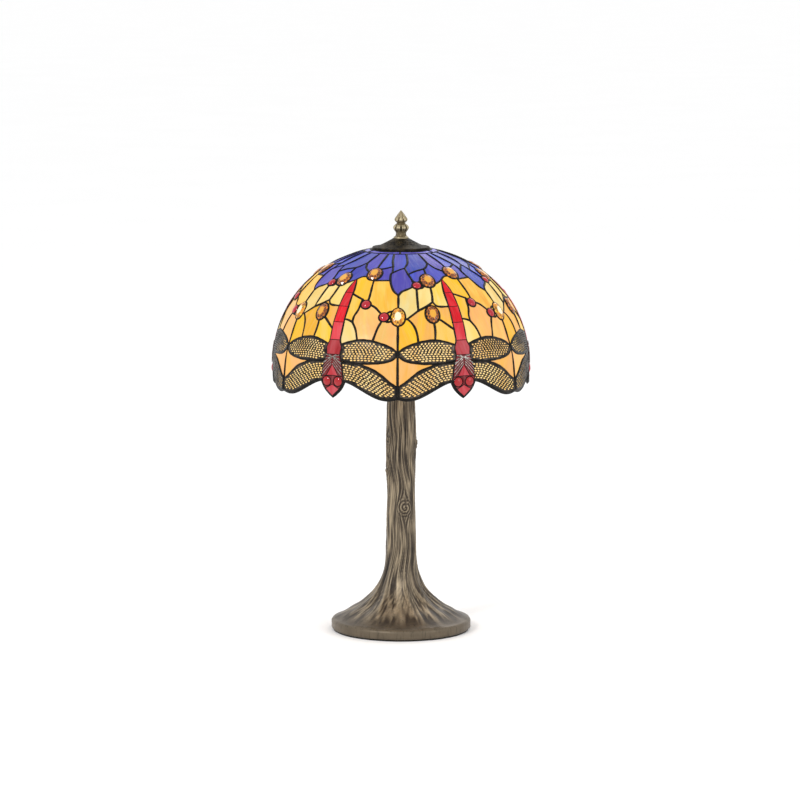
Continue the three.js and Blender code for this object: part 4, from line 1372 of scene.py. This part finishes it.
HOLDER_BODY = [(18.3, 300.3), (19.5, 300.3), (20, 300.8), (20, 304.2), (19.5, 304.7), (19.5, 305.5),
               (20, 306), (20, 331.3), (19.5, 331.8), (19.5, 332.6), (20, 333.1), (20, 335.8),
               (19.5, 336.3), (18.3, 336.3)]
HOLDER_CAP = [(5.3, 288.3), (12, 288.3), (14.6, 289.4), (17, 291.3), (18.9, 293.6), (20, 296.3), (20, 300),
              (18.3, 300), (18.3, 296.9), (17.2, 294.6), (15.8, 292.7), (13.7, 291), (11.5, 290), (5.3, 290)]
for name, outline, node in (("beaded_holder", HOLDER_BODY, "lampholder_body"),
                            ("domed_holder_cap", HOLDER_CAP, "lampholder_cap")):
    Shape().add(*lathe(outline, 72)).make(
        name, "stand", LOOKS["antique_brass"], "antique_brass", [node], crease=40)

BULB_SIDE = [(12.3, 321), (12.3, 338.5), (14.5, 344), (17.6, 349.6), (21, 355), (24.2, 360), (27, 365.4),
             (29.2, 372.5), (30, 381)]
BULB_R, BULB_Z = 30, 381
bulb_top = [(BULB_R * math.cos(t), BULB_Z + BULB_R * math.sin(t))
            for t in (math.radians(7.5 * k) for k in range(1, 12))]
bulb_out = BULB_SIDE + bulb_top + [(0.05, BULB_Z + BULB_R)]
bulb_in = [(max(r - 1, 0.03), z - (max(z - BULB_Z, 0) / BULB_R)) for r, z in reversed(bulb_out)]
bulb_look = Look("opal_glass", Roughness=0.22, Specular_IOR_Level=0.5, Emission_Strength=1.5)
bulb_haze = bulb_look.noise(bulb_look.position(), 60.0, 2.0)
bulb_look.put("Base Color", bulb_look.mix(bulb_haze, (0.9, 0.87, 0.8), (0.96, 0.94, 0.9)))
bulb_look.put("Emission Color", bulb_look.mix(bulb_haze, (1.0, 0.84, 0.6), (1.0, 0.9, 0.7)))
Shape().add(*lathe(bulb_out + bulb_in, 64)).make(
    "opal_bulb", "bulb", bulb_look.material, "opal_glass", ["bulb_glass"], crease=40)


THREAD_PITCH, THREAD_DEPTH = 3.6, 0.55
CAP_INNER_R = 12.55


def threaded(r, z, a):
    """A round thread on the outside of the cap, which starts and ends smoothly. The inside is plain."""
    if r <= 13:
        return min(r, CAP_INNER_R)
    fade = smoothstep(z, 317.4, 320) * (1 - smoothstep(z, 334, 337))
    return r - fade * THREAD_DEPTH * (0.5 - 0.5 * math.cos(2 * math.pi * z / THREAD_PITCH - a))


cap_out = [(13.2, 317.2 + 0.6 * k) for k in range(35)] + [(13.2, 338)]
cap_in = [(12.45, 338), (12.45, 336)] + [(12.5, 335 - 1.2 * k) for k in range(15)] + [(12.5, 317.2)]
Shape().add(*lathe(cap_out + cap_in, 48, threaded)).make(
    "threaded_cap", "bulb", LOOKS["bulb_cap"], "bulb_cap", ["bulb_screw_cap"], crease=0)

# ---- finishes of the nodes that stay as they are --------------------------------------------------

clear = Look("clear_glass", Roughness=0.05, Transmission_Weight=0.9, IOR=1.5)
clear.put("Base Color", clear.mix(clear.noise(clear.position(), 90.0), (0.86, 0.9, 0.9), (0.95, 0.97, 0.97)))
LOOKS["clear_glass"] = clear.material

KEPT = {
    "steel": ["bottom_cover", "lamp_rod", "rod_washer", "rod_nut", "finial_stud"],
    "felt": ["felt_pad"],
    "black_plastic": ["cable_bush", "bulb_insulator"],
    "dark_bronze": ["trunk_collar", "crown_ring"],
    "antique_brass": ["harp_saddle"],
    "brass": ["seat_washer", "screw_shell", "centre_contact", "finial_insert"],
    "porcelain": ["lampholder_insulator"],
    "bulb_cap": ["bulb_contact"],
    "clear_glass": ["bulb_stem"],
}
for look_name, node_names in KEPT.items():
    for node_name in node_names:
        node = NODES[node_name]
        node.data.materials.clear()
        node.data.materials.append(LOOKS[look_name])

# ---- stage, lights and camera ---------------------------------------------------------------------

floor_look = Look("studio_floor", Roughness=0.85)
floor_grain = floor_look.noise(floor_look.position(), 3.0, 2.0)
floor_look.put("Base Color", floor_look.mix(floor_grain, (0.93, 0.93, 0.93), (0.96, 0.96, 0.96)))
floor_mesh = bpy.data.meshes.new("floor")
FLOOR = 30.0
floor_mesh.from_pydata([(-FLOOR, -FLOOR, 0), (FLOOR, -FLOOR, 0), (FLOOR, FLOOR, 0), (-FLOOR, FLOOR, 0)], [],
                       [(0, 1, 2, 3)])
floor_mesh.materials.append(floor_look.material)
floor = bpy.data.objects.new("floor", floor_mesh)
bpy.context.scene.collection.objects.link(floor)

world = bpy.data.worlds.new("studio")
bpy.context.scene.world = world
world.use_nodes = True
world.node_tree.nodes["Background"].inputs["Color"].default_value = (1, 1, 1, 1)
world.node_tree.nodes["Background"].inputs["Strength"].default_value = 1.05


def area_light(name, place, target, size, watts):
    data = bpy.data.lights.new(name, "AREA")
    data.size, data.energy = size, watts
    obj = bpy.data.objects.new(name, data)
    obj.location = place
    obj.rotation_euler = (Vector(target) - Vector(place)).to_track_quat("-Z", "Y").to_euler()
    bpy.context.scene.collection.objects.link(obj)


area_light("key", (-1.4, -1.8, 1.7), (0, 0, 0.25), 0.45, 22)
area_light("fill", (1.8, -1.4, 1.0), (0, 0, 0.25), 1.4, 9)
area_light("rim", (0.6, 1.8, 1.6), (0, 0, 0.3), 1.0, 5)

camera_data = bpy.data.cameras.new("camera")
camera_data.lens = 162.8
camera_data.clip_end = 100
camera = bpy.data.objects.new("camera", camera_data)
camera.location = (-0.0012, -4.2, 0.85)
camera.rotation_euler = (Vector((-0.0012, 0, 0.272)) - camera.location).to_track_quat("-Z", "Y").to_euler()
bpy.context.scene.collection.objects.link(camera)
bpy.context.scene.camera = camera
bpy.context.scene.view_settings.view_transform = "Standard"
